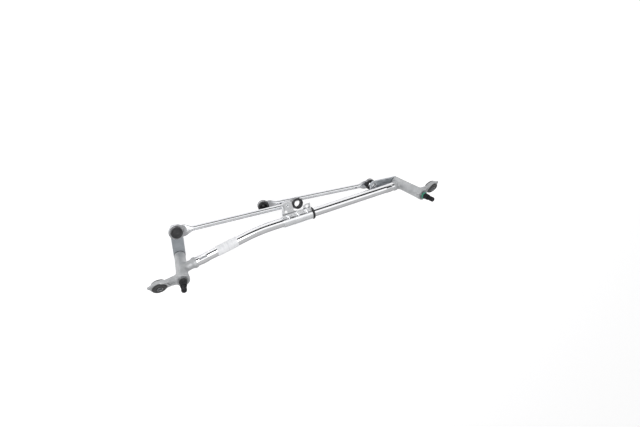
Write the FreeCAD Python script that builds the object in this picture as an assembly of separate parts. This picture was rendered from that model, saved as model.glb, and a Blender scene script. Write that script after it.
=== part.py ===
import FreeCAD, Part
import math
import os

# Tandem windshield wiper linkage without its motor. Millimetres.
# The origin is the centre of the left body mount. +X runs towards the right pivot, +Z is the side of
# the threaded spindle ends, and +Y is the side of the two link rods.

V = FreeCAD.Vector
ORIGIN = V(0, 0, 0)
X_AXIS = V(1, 0, 0)
Y_AXIS = V(0, 1, 0)
Z_AXIS = V(0, 0, 1)

# Driving dimensions: where the two pivots and the two body mounts are
LEFT_PIVOT = V(47.0, 9.0, -11.4)       # the left spindle axis meets the tube's centre plane here
PIVOT_DISTANCE = 510.0
LEFT_TOE = 8.0                         # degrees the left spindle leans towards -X
RIGHT_TOE = 7.0                        # degrees the right spindle leans towards +X
MOUNT_TILT = 23.6                      # degrees the body screws lean from +Z towards -Y
LEFT_MOUNT = V(0, 0, 0)
RIGHT_MOUNT = V(604.0, 6.7, 37.8)

# Frame tube
TUBE_R = 10.0
TUBE_WALL = 1.5
BEND_X = 160.0                         # bend corner, measured from the left pivot
BEND_Y = 20.0
BEND_R = 300.0
LEFT_TUBE_START = 30.0                 # distances of the tube's ends from the pivots
RIGHT_TUBE_START = 22.0
CRIMP_WIDTH = 4.0
CRIMP_LENGTH = 15.0
CRIMP_START = 7.0                      # from the tube's end
CRIMP_DEPTH = 0.8
LABEL_START = 72.0
LABEL_END = 114.0
LABEL_THICKNESS = 0.3

# Pivot housings; heights are measured along the spindle from the tube's centre plane
LEFT_BARREL = (-44.5, 35.0)
RIGHT_BARREL = (-17.5, 68.5)
LEFT_BARREL_R = 10.5
RIGHT_BARREL_R = 11.3
LEFT_ARM_HEIGHT = 26.5
RIGHT_ARM_HEIGHT = 59.5
BORE_R = 7.3
BUSH_R = 8.0
BUSH_LENGTH = 14.0
NECK_STUB_R = 9.0
STUB_R = 10.8
SPIGOT_LENGTH = 30.0
SPIGOT_GAP = 0.05
ARM_ROOT_HALF_WIDTH = 8.5
ARM_ROOT_HALF = 8.0
EYE_R = 15.5
EYE_HALF = 3.5
NOSE_HALF = 1.7
LEFT_NOSE = (158.0, 22.0)               # direction in the eye's plane, and reach from the eye's centre
RIGHT_NOSE = (29.0, 20.5)
GROMMET_GROOVE_R = 10.5
GROMMET_R = 13.6
GROMMET_HALF = 7.0
FLANGE_GAP = 0.4
SLEEVE_R = 5.4
SLEEVE_BORE_R = 4.2
SLEEVE_HALF = 7.5

# Spindles and cranks
SHAFT_R = 6.5
RUNNING_GAP = 0.03
END_PLAY = 0.1
WASHER_THICKNESS = 1.2
WASHER_R = 10.5
LEVER_THICKNESS = 4.5
LEVER_HALF_WIDTH = 11.5
LEVER_END = 9.0                        # from the ball pin's centre to the lever's blunt end
LEFT_LEVER = 61.0
RIGHT_LEVER = 65.0
LEFT_LEVER_ANGLE = 80.4                # degrees from +X about the spindle, as the rods hang free
RIGHT_LEVER_ANGLE = 167.9
PRESS_R = 5.5
RIVET_R = 7.8
RIVET_HEIGHT = 2.0
CLIP_THICKNESS = 1.2
CLIP_GROOVE_R = 5.6
CLIP_R = 8.6
CLIP_GAP = 7.0
SEAL_GROOVE_R = 5.4
SEAL_R = 7.4
SEAL_LENGTH = 3.5
KNURL_LENGTH = 10.0
KNURL_TOP_R = 6.0
THREAD_R = 5.0
THREAD_DEPTH = 0.8
THREAD_LENGTH = 12.5
THREAD_RELIEF = 1.5

# Ball joints
BALL_R = 8.0
BALL_GAP = 0.3
BALL_HEIGHT = 12.2                     # ball centre above the lever's middle plane
NECK_R = 3.8
PIN_SHANK_R = 4.0
SOCKET_GROOVE_R = 10.0                 # where the socket is moulded through the rod's eye
SOCKET_R = 12.0
SOCKET_HALF = 5.5
SEAT_DEPTH = 4.0                       # height of the seat's lips from the ball's centre
MOUTH_R = 7.8
CAP_R = 11.0
CAP_TOP = 9.7
DOME_R = 10.6

# Link rods
ROD_R = 5.5
ROD_BORE_R = 4.2
ROD_EYE_HALF = 2.0
WIDE_EYE_R = 14.3                      # the left rod's crank end
EYE_RIM_R = 11.8                       # every other rod end
NECK_LENGTH = 17.0
VENT_R = 1.5
LEFT_ROD_END = V(263.0, 28.0, -33.0)   # rod's motor end, measured from the left pivot
RIGHT_ROD_END = V(197.0, 34.0, -60.0)
LEFT_ROD_ROLL = 16.0                   # degrees each rod is rolled about its own length
RIGHT_ROD_ROLL = 0.0

# Motor bracket, a folded sheet wrapped round the tube
SHEET = 2.0
BRACKET_START = 213.0                  # X of its left end, measured from the left pivot
BRACKET_LENGTH = 65.0
STRIP_HEIGHT = 17.0                    # heights are measured from the tube's axis
LEFT_EAR_HEIGHT = 44.0
LEFT_EAR_WIDTH = 24.0
RIGHT_EAR_HEIGHT = 26.5
RIGHT_EAR_WIDTH = 15.0
MOTOR_SCREW_R = 3.3
LOCATING_R = 3.0
EAR_INSET = 3.0                        # the left ear's folded edge stands this far in
FOLD_LENGTH = 16.0
FOLD_HEIGHT = 4.5
LEFT_SCREW = (14.5, 35.5)              # along the tube, and away from it
LOCATING_HOLE = (10.0, 22.0)
RIGHT_SCREW = (57.0, 20.3)
BAND_WIDTH = 4.5
BAND_R = 12.8


def unit(vector):
    return V(vector).normalize()


def leaning(degrees):
    """The direction that leans from +Z towards +X."""
    angle = math.radians(degrees)
    return V(math.sin(angle), 0, math.cos(angle))


def placed(shape, base, z_axis, x_hint=X_AXIS):
    """Move a shape drawn at the origin so that its Z points along z_axis and its X near x_hint."""
    z = unit(z_axis)
    x = unit(x_hint - z * x_hint.dot(z))
    y = z.cross(x)
    matrix = FreeCAD.Matrix(x.x, y.x, z.x, base.x, x.y, y.y, z.y, base.y, x.z, y.z, z.z, base.z)
    moved = shape.copy()
    moved.Placement = FreeCAD.Placement(matrix).multiply(moved.Placement)
    return moved


def lathe(points):
    """Revolve a closed outline of (radius, height) points about Z."""
    corners = [V(radius, 0, height) for radius, height in points]
    face = Part.Face(Part.makePolygon(corners + corners[:1]))
    return face.revolve(ORIGIN, Z_AXIS, 360)


def rod_between(start, end, radius):
    return Part.makeCylinder(radius, (end - start).Length, start, end - start)


def plate(corners, radii, bottom, top):
    """A flat plate whose outline's corners are rounded by the given radii."""
    edges = []
    count = len(corners)
    ends = []
    for index, (corner, radius) in enumerate(zip(corners, radii)):
        before = unit(corners[index - 1] - corner)
        after = unit(corners[(index + 1) % count] - corner)
        half = before.getAngle(after) / 2
        run = radius / math.tan(half)
        middle = corner + unit(before + after) * (radius / math.sin(half) - radius)
        ends.append((corner + before * run, middle, corner + after * run))
    for index, (start, middle, end) in enumerate(ends):
        if (end - start).Length > 0.01:
            edges.append(Part.Arc(start, middle, end).toShape())
        edges.append(Part.LineSegment(end, ends[(index + 1) % count][0]).toShape())
    face = Part.Face(Part.Wire(edges))
    face.translate(Z_AXIS * bottom)
    return face.extrude(Z_AXIS * (top - bottom))


def chamfered_section(centre, across, up, half_width, bottom, top, chamfer):
    """A closed eight-cornered section about centre, wide along across and tall along up."""
    outline = [
        (-half_width + chamfer, bottom), (half_width - chamfer, bottom), (half_width, bottom + chamfer),
        (half_width, top - chamfer), (half_width - chamfer, top), (-half_width + chamfer, top),
        (-half_width, top - chamfer), (-half_width, bottom + chamfer),
    ]
    corners = [centre + across * wide + up * high for wide, high in outline]
    return Part.makePolygon(corners + corners[:1])


# The frame's directions and the places that follow from the driving dimensions
LEFT_AXIS = leaning(-LEFT_TOE)
RIGHT_AXIS = leaning(RIGHT_TOE)
MOUNT_AXIS = V(0, -math.sin(math.radians(MOUNT_TILT)), math.cos(math.radians(MOUNT_TILT)))
RIGHT_PIVOT = LEFT_PIVOT + X_AXIS * PIVOT_DISTANCE
BEND = LEFT_PIVOT + V(BEND_X, BEND_Y, 0)
LEFT_RUN = unit(BEND - LEFT_PIVOT)
RIGHT_RUN = unit(RIGHT_PIVOT - BEND)


def tube_path():
    """Two straight runs joined by the bend's tangent arc."""
    start = LEFT_PIVOT + LEFT_RUN * LEFT_TUBE_START
    end = RIGHT_PIVOT - RIGHT_RUN * RIGHT_TUBE_START
    half_turn = LEFT_RUN.getAngle(RIGHT_RUN) / 2
    tangent = BEND_R * math.tan(half_turn)
    arc_start = BEND - LEFT_RUN * tangent
    arc_end = BEND + RIGHT_RUN * tangent
    inward = unit(RIGHT_RUN - LEFT_RUN)
    middle = BEND + inward * (BEND_R / math.cos(half_turn) - BEND_R)
    edges = [
        Part.LineSegment(start, arc_start).toShape(),
        Part.Arc(arc_start, middle, arc_end).toShape(),
        Part.LineSegment(arc_end, end).toShape(),
    ]
    return Part.Wire(edges), start


def tube_sweep(radius):
    path, start = tube_path()
    profile = Part.Wire(Part.Circle(start, LEFT_RUN, radius).toShape())
    return path.makePipeShell([profile], True, False)


def crimp_slots(depth_from, depth_to):
    """Four stadium-shaped prisms round a tube end that starts at the origin and runs along +X."""
    first = CRIMP_START
    half = CRIMP_WIDTH / 2
    corners = [
        V(first, -half, 0),
        V(first + CRIMP_LENGTH, -half, 0),
        V(first + CRIMP_LENGTH, half, 0),
        V(first, half, 0),
    ]
    slot = plate(corners, [half * 0.98] * 4, depth_from, depth_to)
    slots = []
    for quarter in range(4):
        turned = slot.copy()
        turned.rotate(ORIGIN, X_AXIS, 45 + 90 * quarter)
        slots.append(turned)
    return Part.makeCompound(slots)


def crimp_places():
    """Each tube end and the direction that the tube leaves it."""
    return [
        (LEFT_PIVOT + LEFT_RUN * LEFT_TUBE_START, LEFT_RUN),
        (RIGHT_PIVOT - RIGHT_RUN * RIGHT_TUBE_START, RIGHT_RUN * -1),
    ]


def frame_tube():
    tube = tube_sweep(TUBE_R).cut(tube_sweep(TUBE_R - TUBE_WALL))
    for base, run in crimp_places():
        slots = crimp_slots(TUBE_R - TUBE_WALL - 0.5, TUBE_R + 1)
        tube = tube.cut(placed(slots, base, Z_AXIS, run))
    return tube


def tube_label():
    paper = tube_sweep(TUBE_R + LABEL_THICKNESS).cut(tube_sweep(TUBE_R))
    length = LABEL_END - LABEL_START
    slab = Part.makeBox(length, 80, 80, LEFT_PIVOT + V(LABEL_START, -20, -40))
    return paper.common(slab)


def tube_stub(run, start):
    """The casting's collar at the tube's end, and the spigot inside the tube."""
    collar = lathe([
        (0, 0), (NECK_STUB_R, 0), (NECK_STUB_R, start - 10), (STUB_R, start - 5), (STUB_R, start), (0, start),
    ])
    spigot_r = TUBE_R - TUBE_WALL - SPIGOT_GAP
    spigot = lathe([(0, start - 1), (spigot_r, start - 1), (spigot_r, start + SPIGOT_LENGTH - 2),
                    (spigot_r - 2, start + SPIGOT_LENGTH), (0, start + SPIGOT_LENGTH)])
    stub = collar.fuse(spigot)
    dents = crimp_slots(spigot_r - CRIMP_DEPTH, TUBE_R + 1)
    dents.translate(X_AXIS * start)
    along_x = placed(stub, ORIGIN, X_AXIS, Z_AXIS)
    return along_x.cut(dents)


def arm_section(centre, across, half_width, bottom, top):
    chamfer = (top - bottom) * 0.22
    return chamfered_section(centre, across, MOUNT_AXIS, half_width, bottom, top, chamfer)


def mounting_arm(root, eye, nose_angle, nose_reach):
    """Arm that tapers from the barrel to the grommet's eye, and the eye's pointed nose."""
    out = unit((eye - root) - MOUNT_AXIS * (eye - root).dot(MOUNT_AXIS))
    across = MOUNT_AXIS.cross(out)
    sections = [
        arm_section(root, across, ARM_ROOT_HALF_WIDTH, -ARM_ROOT_HALF, ARM_ROOT_HALF),
        arm_section(root + (eye - root) * 0.5, across, ARM_ROOT_HALF_WIDTH, -ARM_ROOT_HALF * 0.8, EYE_HALF),
        arm_section(eye, across, EYE_R * 0.8, -EYE_HALF, EYE_HALF),
    ]
    arm = Part.makeLoft(sections, True, True)
    ring = Part.makeCylinder(EYE_R, 2 * EYE_HALF, V(0, 0, -EYE_HALF))
    ring = ring.makeFillet(0.8, [edge for edge in ring.Edges if len(edge.Vertexes) == 1])
    side = EYE_R * 0.75
    shoulder = EYE_R * 0.6
    corners = [
        V(0, -side, 0), V(shoulder, -side, 0), V(nose_reach, 0, 0), V(shoulder, side, 0), V(0, side, 0),
    ]
    nose = plate(corners, [1, 5, 1.5, 5, 1], -NOSE_HALF, NOSE_HALF)
    pointing = V(math.cos(math.radians(nose_angle)), math.sin(math.radians(nose_angle)), 0)
    return arm.fuse([placed(ring, eye, MOUNT_AXIS), placed(nose, eye, MOUNT_AXIS, pointing)])


def grommet_hole(eye):
    """The eye's hole, and room for the grommet's flange on each side of it."""
    reach = 14.0
    flange_r = GROMMET_R + FLANGE_GAP
    room = lathe([
        (0, -reach), (flange_r, -reach), (flange_r, -EYE_HALF), (GROMMET_GROOVE_R, -EYE_HALF),
        (GROMMET_GROOVE_R, EYE_HALF), (flange_r, EYE_HALF), (flange_r, reach), (0, reach),
    ])
    return placed(room, eye, MOUNT_AXIS)


def barrel(bottom, top, radius, flare):
    """Outside of a spindle barrel, with a rim at the crank end and a flare at the threaded end."""
    return lathe([
        (0, bottom), (radius + 0.4, bottom), (radius + 0.4, bottom + 3), (radius, bottom + 5),
        (radius + 0.2, top - 14), (radius + flare, top - 7), (radius + flare, top - 1),
        (radius + flare - 1, top), (0, top),
    ])


def barrel_bore(bottom, top):
    return lathe([
        (0, bottom - 1), (BUSH_R, bottom - 1), (BUSH_R, bottom + BUSH_LENGTH),
        (BORE_R, bottom + BUSH_LENGTH), (BORE_R, top - BUSH_LENGTH), (BUSH_R, top - BUSH_LENGTH),
        (BUSH_R, top + 1), (0, top + 1),
    ])


def housing(pivot, axis, span, radius, flare, run, tube_start, arm_height, mount, nose):
    bottom, top = span
    body = placed(barrel(bottom, top, radius, flare), pivot, axis)
    stub = placed(tube_stub(run, tube_start), pivot, Z_AXIS, run)
    arm = mounting_arm(pivot + axis * arm_height, mount, *nose)
    solid = body.fuse([stub, arm])
    solid = solid.cut(placed(barrel_bore(bottom, top), pivot, axis))
    return solid.cut(grommet_hole(mount)).removeSplitter()


def bush(pivot, axis, bottom):
    ring = lathe([
        (SHAFT_R + RUNNING_GAP, bottom), (BUSH_R, bottom),
        (BUSH_R, bottom + BUSH_LENGTH), (SHAFT_R + RUNNING_GAP, bottom + BUSH_LENGTH),
    ])
    return placed(ring, pivot, axis)


def mount_grommet(eye):
    half = GROMMET_HALF
    ring = lathe([
        (SLEEVE_R, -half), (GROMMET_R - 1.5, -half), (GROMMET_R, -half + 1.5), (GROMMET_R, -EYE_HALF),
        (GROMMET_GROOVE_R, -EYE_HALF), (GROMMET_GROOVE_R, EYE_HALF), (GROMMET_R, EYE_HALF),
        (GROMMET_R, half - 1.5), (GROMMET_R - 1.5, half), (SLEEVE_R, half),
    ])
    return placed(ring, eye, MOUNT_AXIS)


def mount_sleeve(eye):
    half = SLEEVE_HALF
    ring = lathe([(SLEEVE_BORE_R, -half), (SLEEVE_R, -half), (SLEEVE_R, half), (SLEEVE_BORE_R, half)])
    return placed(ring, eye, MOUNT_AXIS)


def stack_heights(span):
    """Heights along the spindle of everything that is stacked on it, from the crank to the tip."""
    bottom, top = span
    heights = {}
    heights["thrust_top"] = bottom - END_PLAY
    heights["lever_top"] = heights["thrust_top"] - WASHER_THICKNESS
    heights["lever_bottom"] = heights["lever_top"] - LEVER_THICKNESS
    heights["lever_middle"] = heights["lever_top"] - LEVER_THICKNESS / 2
    heights["washer"] = top + END_PLAY
    heights["clip"] = heights["washer"] + WASHER_THICKNESS
    heights["seal"] = heights["clip"] + CLIP_THICKNESS
    heights["knurl"] = heights["seal"] + SEAL_LENGTH
    heights["thread"] = heights["knurl"] + KNURL_LENGTH
    heights["tip"] = heights["thread"] + THREAD_RELIEF + THREAD_LENGTH
    return heights


def spindle(pivot, axis, span):
    """Shaft with a riveted foot, a ring groove, a seal groove, a tapered seat and a threaded end."""
    at = stack_heights(span)
    foot = at["lever_bottom"] - RIVET_HEIGHT
    thread = at["thread"] + THREAD_RELIEF
    root_r = THREAD_R - THREAD_DEPTH
    body = lathe([
        (0, foot), (RIVET_R - 1, foot), (RIVET_R, foot + 0.8), (RIVET_R, at["lever_bottom"]),
        (PRESS_R, at["lever_bottom"]), (PRESS_R, at["lever_top"]), (SHAFT_R, at["lever_top"]),
        (SHAFT_R, at["clip"]), (CLIP_GROOVE_R, at["clip"]), (CLIP_GROOVE_R, at["seal"]),
        (SEAL_GROOVE_R, at["seal"]), (SEAL_GROOVE_R, at["knurl"]), (SHAFT_R, at["knurl"]),
        (KNURL_TOP_R, at["thread"]), (root_r, at["thread"]), (root_r, thread),
        (THREAD_R, thread + THREAD_DEPTH), (THREAD_R, at["tip"] - 1.2), (THREAD_R - 1.2, at["tip"]),
        (0, at["tip"]),
    ])
    return placed(body, pivot, axis)


def flat_ring(inner, outer, bottom, thickness):
    return lathe([(inner, bottom), (outer, bottom), (outer, bottom + thickness), (inner, bottom + thickness)])


def thrust_washer(pivot, axis, span, radius):
    ring = flat_ring(SHAFT_R, radius, stack_heights(span)["lever_top"], WASHER_THICKNESS)
    return placed(ring, pivot, axis)


def upper_washer(pivot, axis, span):
    ring = flat_ring(SHAFT_R, WASHER_R, stack_heights(span)["washer"], WASHER_THICKNESS)
    return placed(ring, pivot, axis)


def retaining_ring(pivot, axis, span):
    """An open ring in the spindle's groove."""
    bottom = stack_heights(span)["clip"]
    ring = flat_ring(CLIP_GROOVE_R, CLIP_R, bottom, CLIP_THICKNESS)
    gap = Part.makeBox(CLIP_R + 1, CLIP_GAP, 4, V(0, -CLIP_GAP / 2, bottom - 1))
    return placed(ring.cut(gap), pivot, axis)


def seal_ring(pivot, axis, span):
    bottom = stack_heights(span)["seal"]
    top = bottom + SEAL_LENGTH
    ring = lathe([
        (SEAL_GROOVE_R, bottom), (SEAL_R - 0.8, bottom), (SEAL_R, bottom + 0.8), (SEAL_R, top - 0.8),
        (SEAL_R - 0.8, top), (SEAL_GROOVE_R, top),
    ])
    return placed(ring, pivot, axis)


def crank_lever(pivot, axis, span, length, angle):
    """Flat bar with the spindle's hole at the origin and the ball pin's hole at the other end."""
    half = LEVER_HALF_WIDTH
    end = length + LEVER_END
    corners = [V(-half, -half, 0), V(end, -half, 0), V(end, half, 0), V(-half, half, 0)]
    round_end = half * 0.999
    blunt_end = half * 0.75
    radii = [round_end, blunt_end, blunt_end, round_end]
    bar = plate(corners, radii, -LEVER_THICKNESS / 2, LEVER_THICKNESS / 2)
    edges = [edge for edge in bar.Edges if abs(edge.CenterOfMass.z) > LEVER_THICKNESS / 2 - 0.01]
    bar = bar.makeFillet(0.8, edges)
    holes = [
        Part.makeCylinder(PRESS_R, 20, V(0, 0, -10)),
        Part.makeCylinder(PIN_SHANK_R, 20, V(length, 0, -10)),
    ]
    return placed(bar.cut(holes), *lever_frame(pivot, axis, span, angle))


def lever_frame(pivot, axis, span, angle):
    """Base, normal and direction of a crank lever."""
    base = pivot + axis * stack_heights(span)["lever_middle"]
    direction = FreeCAD.Rotation(axis, angle).multVec(unit(X_AXIS - axis * axis.dot(X_AXIS)))
    return base, axis, direction


def ball_centre(pivot, axis, span, length, angle, side):
    base, normal, direction = lever_frame(pivot, axis, span, angle)
    return base + direction * length + normal * (side * BALL_HEIGHT)


def ball_pin(centre, axis):
    """Stud riveted through the lever; axis points from the lever to the ball."""
    face = -BALL_HEIGHT + LEVER_THICKNESS / 2
    back = -BALL_HEIGHT - LEVER_THICKNESS / 2
    stud = lathe([
        (0, back - 1.8), (4.8, back - 1.8), (6.0, back - 0.9), (6.0, back), (PIN_SHANK_R, back),
        (PIN_SHANK_R, face), (6.2, face), (6.2, face + 1.2), (NECK_R, face + 2.2), (NECK_R, 0), (0, 0),
    ])
    return placed(stud.fuse(Part.makeSphere(BALL_R)), centre, axis)


def socket_cavity():
    """Ball seat with a flared mouth below it."""
    seat_r = BALL_R + BALL_GAP
    lip_r = math.sqrt(seat_r ** 2 - SEAT_DEPTH ** 2)
    below = -SOCKET_HALF - 1
    mouth = lathe([
        (0, 0), (lip_r, 0), (lip_r, -SEAT_DEPTH), (MOUTH_R, -SOCKET_HALF), (MOUTH_R, below), (0, below),
    ])
    return Part.makeSphere(seat_r).fuse(mouth)


def socket_body(top_points):
    """Socket moulded through a rod's eye; top_points go from its waist up to the middle of its top."""
    edge = 0.8
    return lathe([
        (0, -SOCKET_HALF), (SOCKET_R - edge, -SOCKET_HALF), (SOCKET_R, -SOCKET_HALF + edge),
        (SOCKET_R, -ROD_EYE_HALF), (SOCKET_GROOVE_R, -ROD_EYE_HALF), (SOCKET_GROOVE_R, ROD_EYE_HALF),
    ] + top_points)


def capped_socket():
    """Closed socket with a flat cap that carries two shallow rings."""
    body = socket_body([
        (CAP_R, ROD_EYE_HALF), (CAP_R, CAP_TOP - 1.4), (CAP_R - 1.2, CAP_TOP - 0.2),
        (8.8, CAP_TOP - 0.2), (8.4, CAP_TOP - 0.8), (6.4, CAP_TOP - 0.8), (6.0, CAP_TOP), (0, CAP_TOP),
    ])
    return body.cut(socket_cavity())


def domed_socket():
    """Closed socket whose back is a dome over a flat brim."""
    brim_top = ROD_EYE_HALF + 2.4
    brim = socket_body([
        (SOCKET_R, ROD_EYE_HALF), (SOCKET_R, brim_top - 1), (SOCKET_R - 1, brim_top), (0, brim_top),
    ])
    dome = Part.makeSphere(DOME_R).common(Part.makeBox(30, 30, 12, V(-15, -15, brim_top - 1)))
    return brim.fuse(dome).cut(socket_cavity())


def open_socket():
    """Ring that is open on both sides, so that a ball snaps through it."""
    edge = 0.8
    body = socket_body([
        (SOCKET_R, ROD_EYE_HALF), (SOCKET_R, SOCKET_HALF - edge), (SOCKET_R - edge, SOCKET_HALF),
        (0, SOCKET_HALF),
    ])
    return body.cut([socket_cavity(), placed(socket_cavity(), ORIGIN, Z_AXIS * -1)])


def rod_frame(crank_ball, motor_end, roll, side):
    """Base, socket axis and direction of a rod; side says which way the closed sockets point."""
    direction = unit(motor_end - crank_ball)
    upright = unit(Z_AXIS - direction * direction.dot(Z_AXIS))
    axis = FreeCAD.Rotation(direction, -roll * side).multVec(upright) * side
    return crank_ball, axis, direction


def rod_neck(eye_r):
    """The tube's flattened end, from an eye at the origin to the round tube."""
    sections = []
    wide = eye_r * 0.8
    flat = ROD_EYE_HALF - 0.1
    round_r = ROD_R * 0.92
    stations = [
        (eye_r * 0.5, wide, flat, flat * 0.6),
        (max(eye_r, SOCKET_R) + 1.0, wide * 0.85, flat, flat * 0.6),
        (eye_r + NECK_LENGTH, round_r, round_r, round_r * 0.58),
    ]
    for x, half_width, half_height, chamfer in stations:
        centre = V(x, 0, 0)
        sections.append(
            chamfered_section(centre, Y_AXIS, Z_AXIS, half_width, -half_height, half_height, chamfer))
    return Part.makeLoft(sections, True, True)


def link_rod(length, crank_eye_r):
    """Hollow tube flattened into an eye at each end, with a vent hole near each neck."""
    ends = []
    for eye_r, base, heading in [(crank_eye_r, 0, 1), (EYE_RIM_R, length, -1)]:
        eye = Part.makeCylinder(eye_r, 2 * ROD_EYE_HALF, V(0, 0, -ROD_EYE_HALF))
        end = eye.fuse(rod_neck(eye_r))
        ends.append(placed(end, V(base, 0, 0), Z_AXIS, X_AXIS * heading))
    tube_start = crank_eye_r + NECK_LENGTH
    tube_end = length - EYE_RIM_R - NECK_LENGTH
    tube = rod_between(V(tube_start - 0.5, 0, 0), V(tube_end + 0.5, 0, 0), ROD_R)
    cuts = [rod_between(V(tube_start + 2, 0, 0), V(tube_end - 2, 0, 0), ROD_BORE_R)]
    for x in (tube_start + 8, tube_end - 8):
        cuts.append(Part.makeCylinder(VENT_R, ROD_R + 1, V(x, 0, -ROD_R - 1)))
    for x in (0, length):
        cuts.append(Part.makeCylinder(SOCKET_GROOVE_R, 20, V(x, 0, -10)))
    return tube.fuse(ends).cut(cuts).removeSplitter()


def motor_bracket():
    """Folded sheet: a wrap round the tube, a long strip of double sheet, and an ear at each end."""
    length = BRACKET_LENGTH
    right_ear = length - RIGHT_EAR_WIDTH
    fold = Part.makeBox(SHEET, FOLD_LENGTH, FOLD_HEIGHT + SHEET, V(EAR_INSET, STRIP_HEIGHT + 3, -SHEET))
    back_outline = [
        V(0, 0, 0), V(length, 0, 0), V(length, RIGHT_EAR_HEIGHT, 0), V(right_ear, RIGHT_EAR_HEIGHT, 0),
        V(right_ear - 3, STRIP_HEIGHT, 0), V(LEFT_EAR_WIDTH + 3, STRIP_HEIGHT, 0),
        V(LEFT_EAR_WIDTH, LEFT_EAR_HEIGHT, 0), V(EAR_INSET, LEFT_EAR_HEIGHT, 0),
    ]
    back = plate(back_outline, [0, 0, 4, 4, 3, 8, 7, 5], -SHEET, 0)
    front_top = STRIP_HEIGHT - 1
    front_outline = [V(0, 0, 0), V(length, 0, 0), V(length, front_top, 0), V(0, front_top, 0)]
    front = plate(front_outline, [0, 0, 3, 3], -0.01, SHEET)
    wrap = rod_between(ORIGIN, V(length, 0, 0), TUBE_R + SHEET)
    holes = [(LEFT_SCREW, MOTOR_SCREW_R), (RIGHT_SCREW, MOTOR_SCREW_R), (LOCATING_HOLE, LOCATING_R)]
    cuts = [rod_between(V(-1, 0, 0), V(length + 1, 0, 0), TUBE_R)]
    for (x, y), radius in holes:
        cuts.append(Part.makeCylinder(radius, 20, V(x, y, -10)))
    solid = wrap.fuse([back, front, fold]).cut(cuts).removeSplitter()
    return placed(solid, *bracket_frame())


def bracket_frame():
    """Base, normal and direction of the bracket on the tube's right-hand run."""
    along = (BRACKET_START - BEND_X) / RIGHT_RUN.x
    return BEND + RIGHT_RUN * along, Z_AXIS, RIGHT_RUN


def bracket_band():
    base, normal, along = bracket_frame()
    ring = lathe([
        (TUBE_R, 0), (BAND_R - 1, 0), (BAND_R, 1), (BAND_R, BAND_WIDTH - 1), (BAND_R - 1, BAND_WIDTH),
        (TUBE_R, BAND_WIDTH),
    ])
    return placed(ring, base + along * (BRACKET_LENGTH + 0.2), along, Z_AXIS)


def frame_parts():
    return {
        "frame_tube": frame_tube(),
        "tube_label": tube_label(),
        "motor_bracket": motor_bracket(),
        "bracket_band": bracket_band(),
        "left_pivot_housing": housing(
            LEFT_PIVOT, LEFT_AXIS, LEFT_BARREL, LEFT_BARREL_R, 2.2, LEFT_RUN, LEFT_TUBE_START,
            LEFT_ARM_HEIGHT, LEFT_MOUNT, LEFT_NOSE),
        "right_pivot_housing": housing(
            RIGHT_PIVOT, RIGHT_AXIS, RIGHT_BARREL, RIGHT_BARREL_R, 0.8, RIGHT_RUN * -1, RIGHT_TUBE_START,
            RIGHT_ARM_HEIGHT, RIGHT_MOUNT, RIGHT_NOSE),
    }


def side_parts(side, pivot, axis, span, mount):
    """Everything that one pivot holds apart from its casting, crank lever and rod."""
    bottom, top = span
    return {
        side + "_lower_bush": bush(pivot, axis, bottom),
        side + "_upper_bush": bush(pivot, axis, top - BUSH_LENGTH),
        side + "_mount_grommet": mount_grommet(mount),
        side + "_mount_sleeve": mount_sleeve(mount),
        side + "_spindle": spindle(pivot, axis, span),
        side + "_thrust_washer": thrust_washer(pivot, axis, span, LEVER_HALF_WIDTH - 0.4),
        side + "_upper_washer": upper_washer(pivot, axis, span),
        side + "_retaining_ring": retaining_ring(pivot, axis, span),
        side + "_seal_ring": seal_ring(pivot, axis, span),
    }


def crank_and_rod(side, pivot, axis, span, lever, rod_end, roll, ball_side, eye_r, sockets):
    """One crank lever with its ball pin, and the rod and sockets that hang on it."""
    length, angle = lever
    centre = ball_centre(pivot, axis, span, length, angle, ball_side)
    motor_end = LEFT_PIVOT + rod_end
    base, socket_axis, direction = rod_frame(centre, motor_end, roll, ball_side)
    rod = link_rod((motor_end - centre).Length, eye_r)
    crank_socket, motor_socket = sockets
    print(side, "ball centre", [round(value, 3) for value in centre])
    print(side, "rod end", [round(value, 3) for value in motor_end])
    return {
        side + "_crank_lever": crank_lever(pivot, axis, span, length, angle),
        side + "_ball_pin": ball_pin(centre, axis * ball_side),
        side + "_link_rod": placed(rod, base, socket_axis, direction),
        side + "_crank_socket": placed(crank_socket, centre, socket_axis, direction),
        side + "_motor_socket": placed(motor_socket, motor_end, socket_axis, direction),
    }


def main():
    os.makedirs("parts", exist_ok=True)
    parts = frame_parts()
    parts.update(side_parts("left", LEFT_PIVOT, LEFT_AXIS, LEFT_BARREL, LEFT_MOUNT))
    parts.update(side_parts("right", RIGHT_PIVOT, RIGHT_AXIS, RIGHT_BARREL, RIGHT_MOUNT))
    parts.update(crank_and_rod(
        "left", LEFT_PIVOT, LEFT_AXIS, LEFT_BARREL, (LEFT_LEVER, LEFT_LEVER_ANGLE),
        LEFT_ROD_END, LEFT_ROD_ROLL, 1, WIDE_EYE_R, (capped_socket(), open_socket())))
    parts.update(crank_and_rod(
        "right", RIGHT_PIVOT, RIGHT_AXIS, RIGHT_BARREL, (RIGHT_LEVER, RIGHT_LEVER_ANGLE),
        RIGHT_ROD_END, RIGHT_ROD_ROLL, -1, EYE_RIM_R, (domed_socket(), domed_socket())))
    for name, shape in sorted(parts.items()):
        solids = shape.Solids
        print(name, "solids", len(solids), "valid", shape.isValid(), "volume", round(shape.Volume, 1))
        part = solids[0] if len(solids) == 1 else Part.makeCompound(solids)
        part.exportStep("parts/" + name + ".step")


main()
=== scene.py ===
import math

import bmesh
import bpy
import numpy as np
from mathutils import Matrix, Vector


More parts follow.
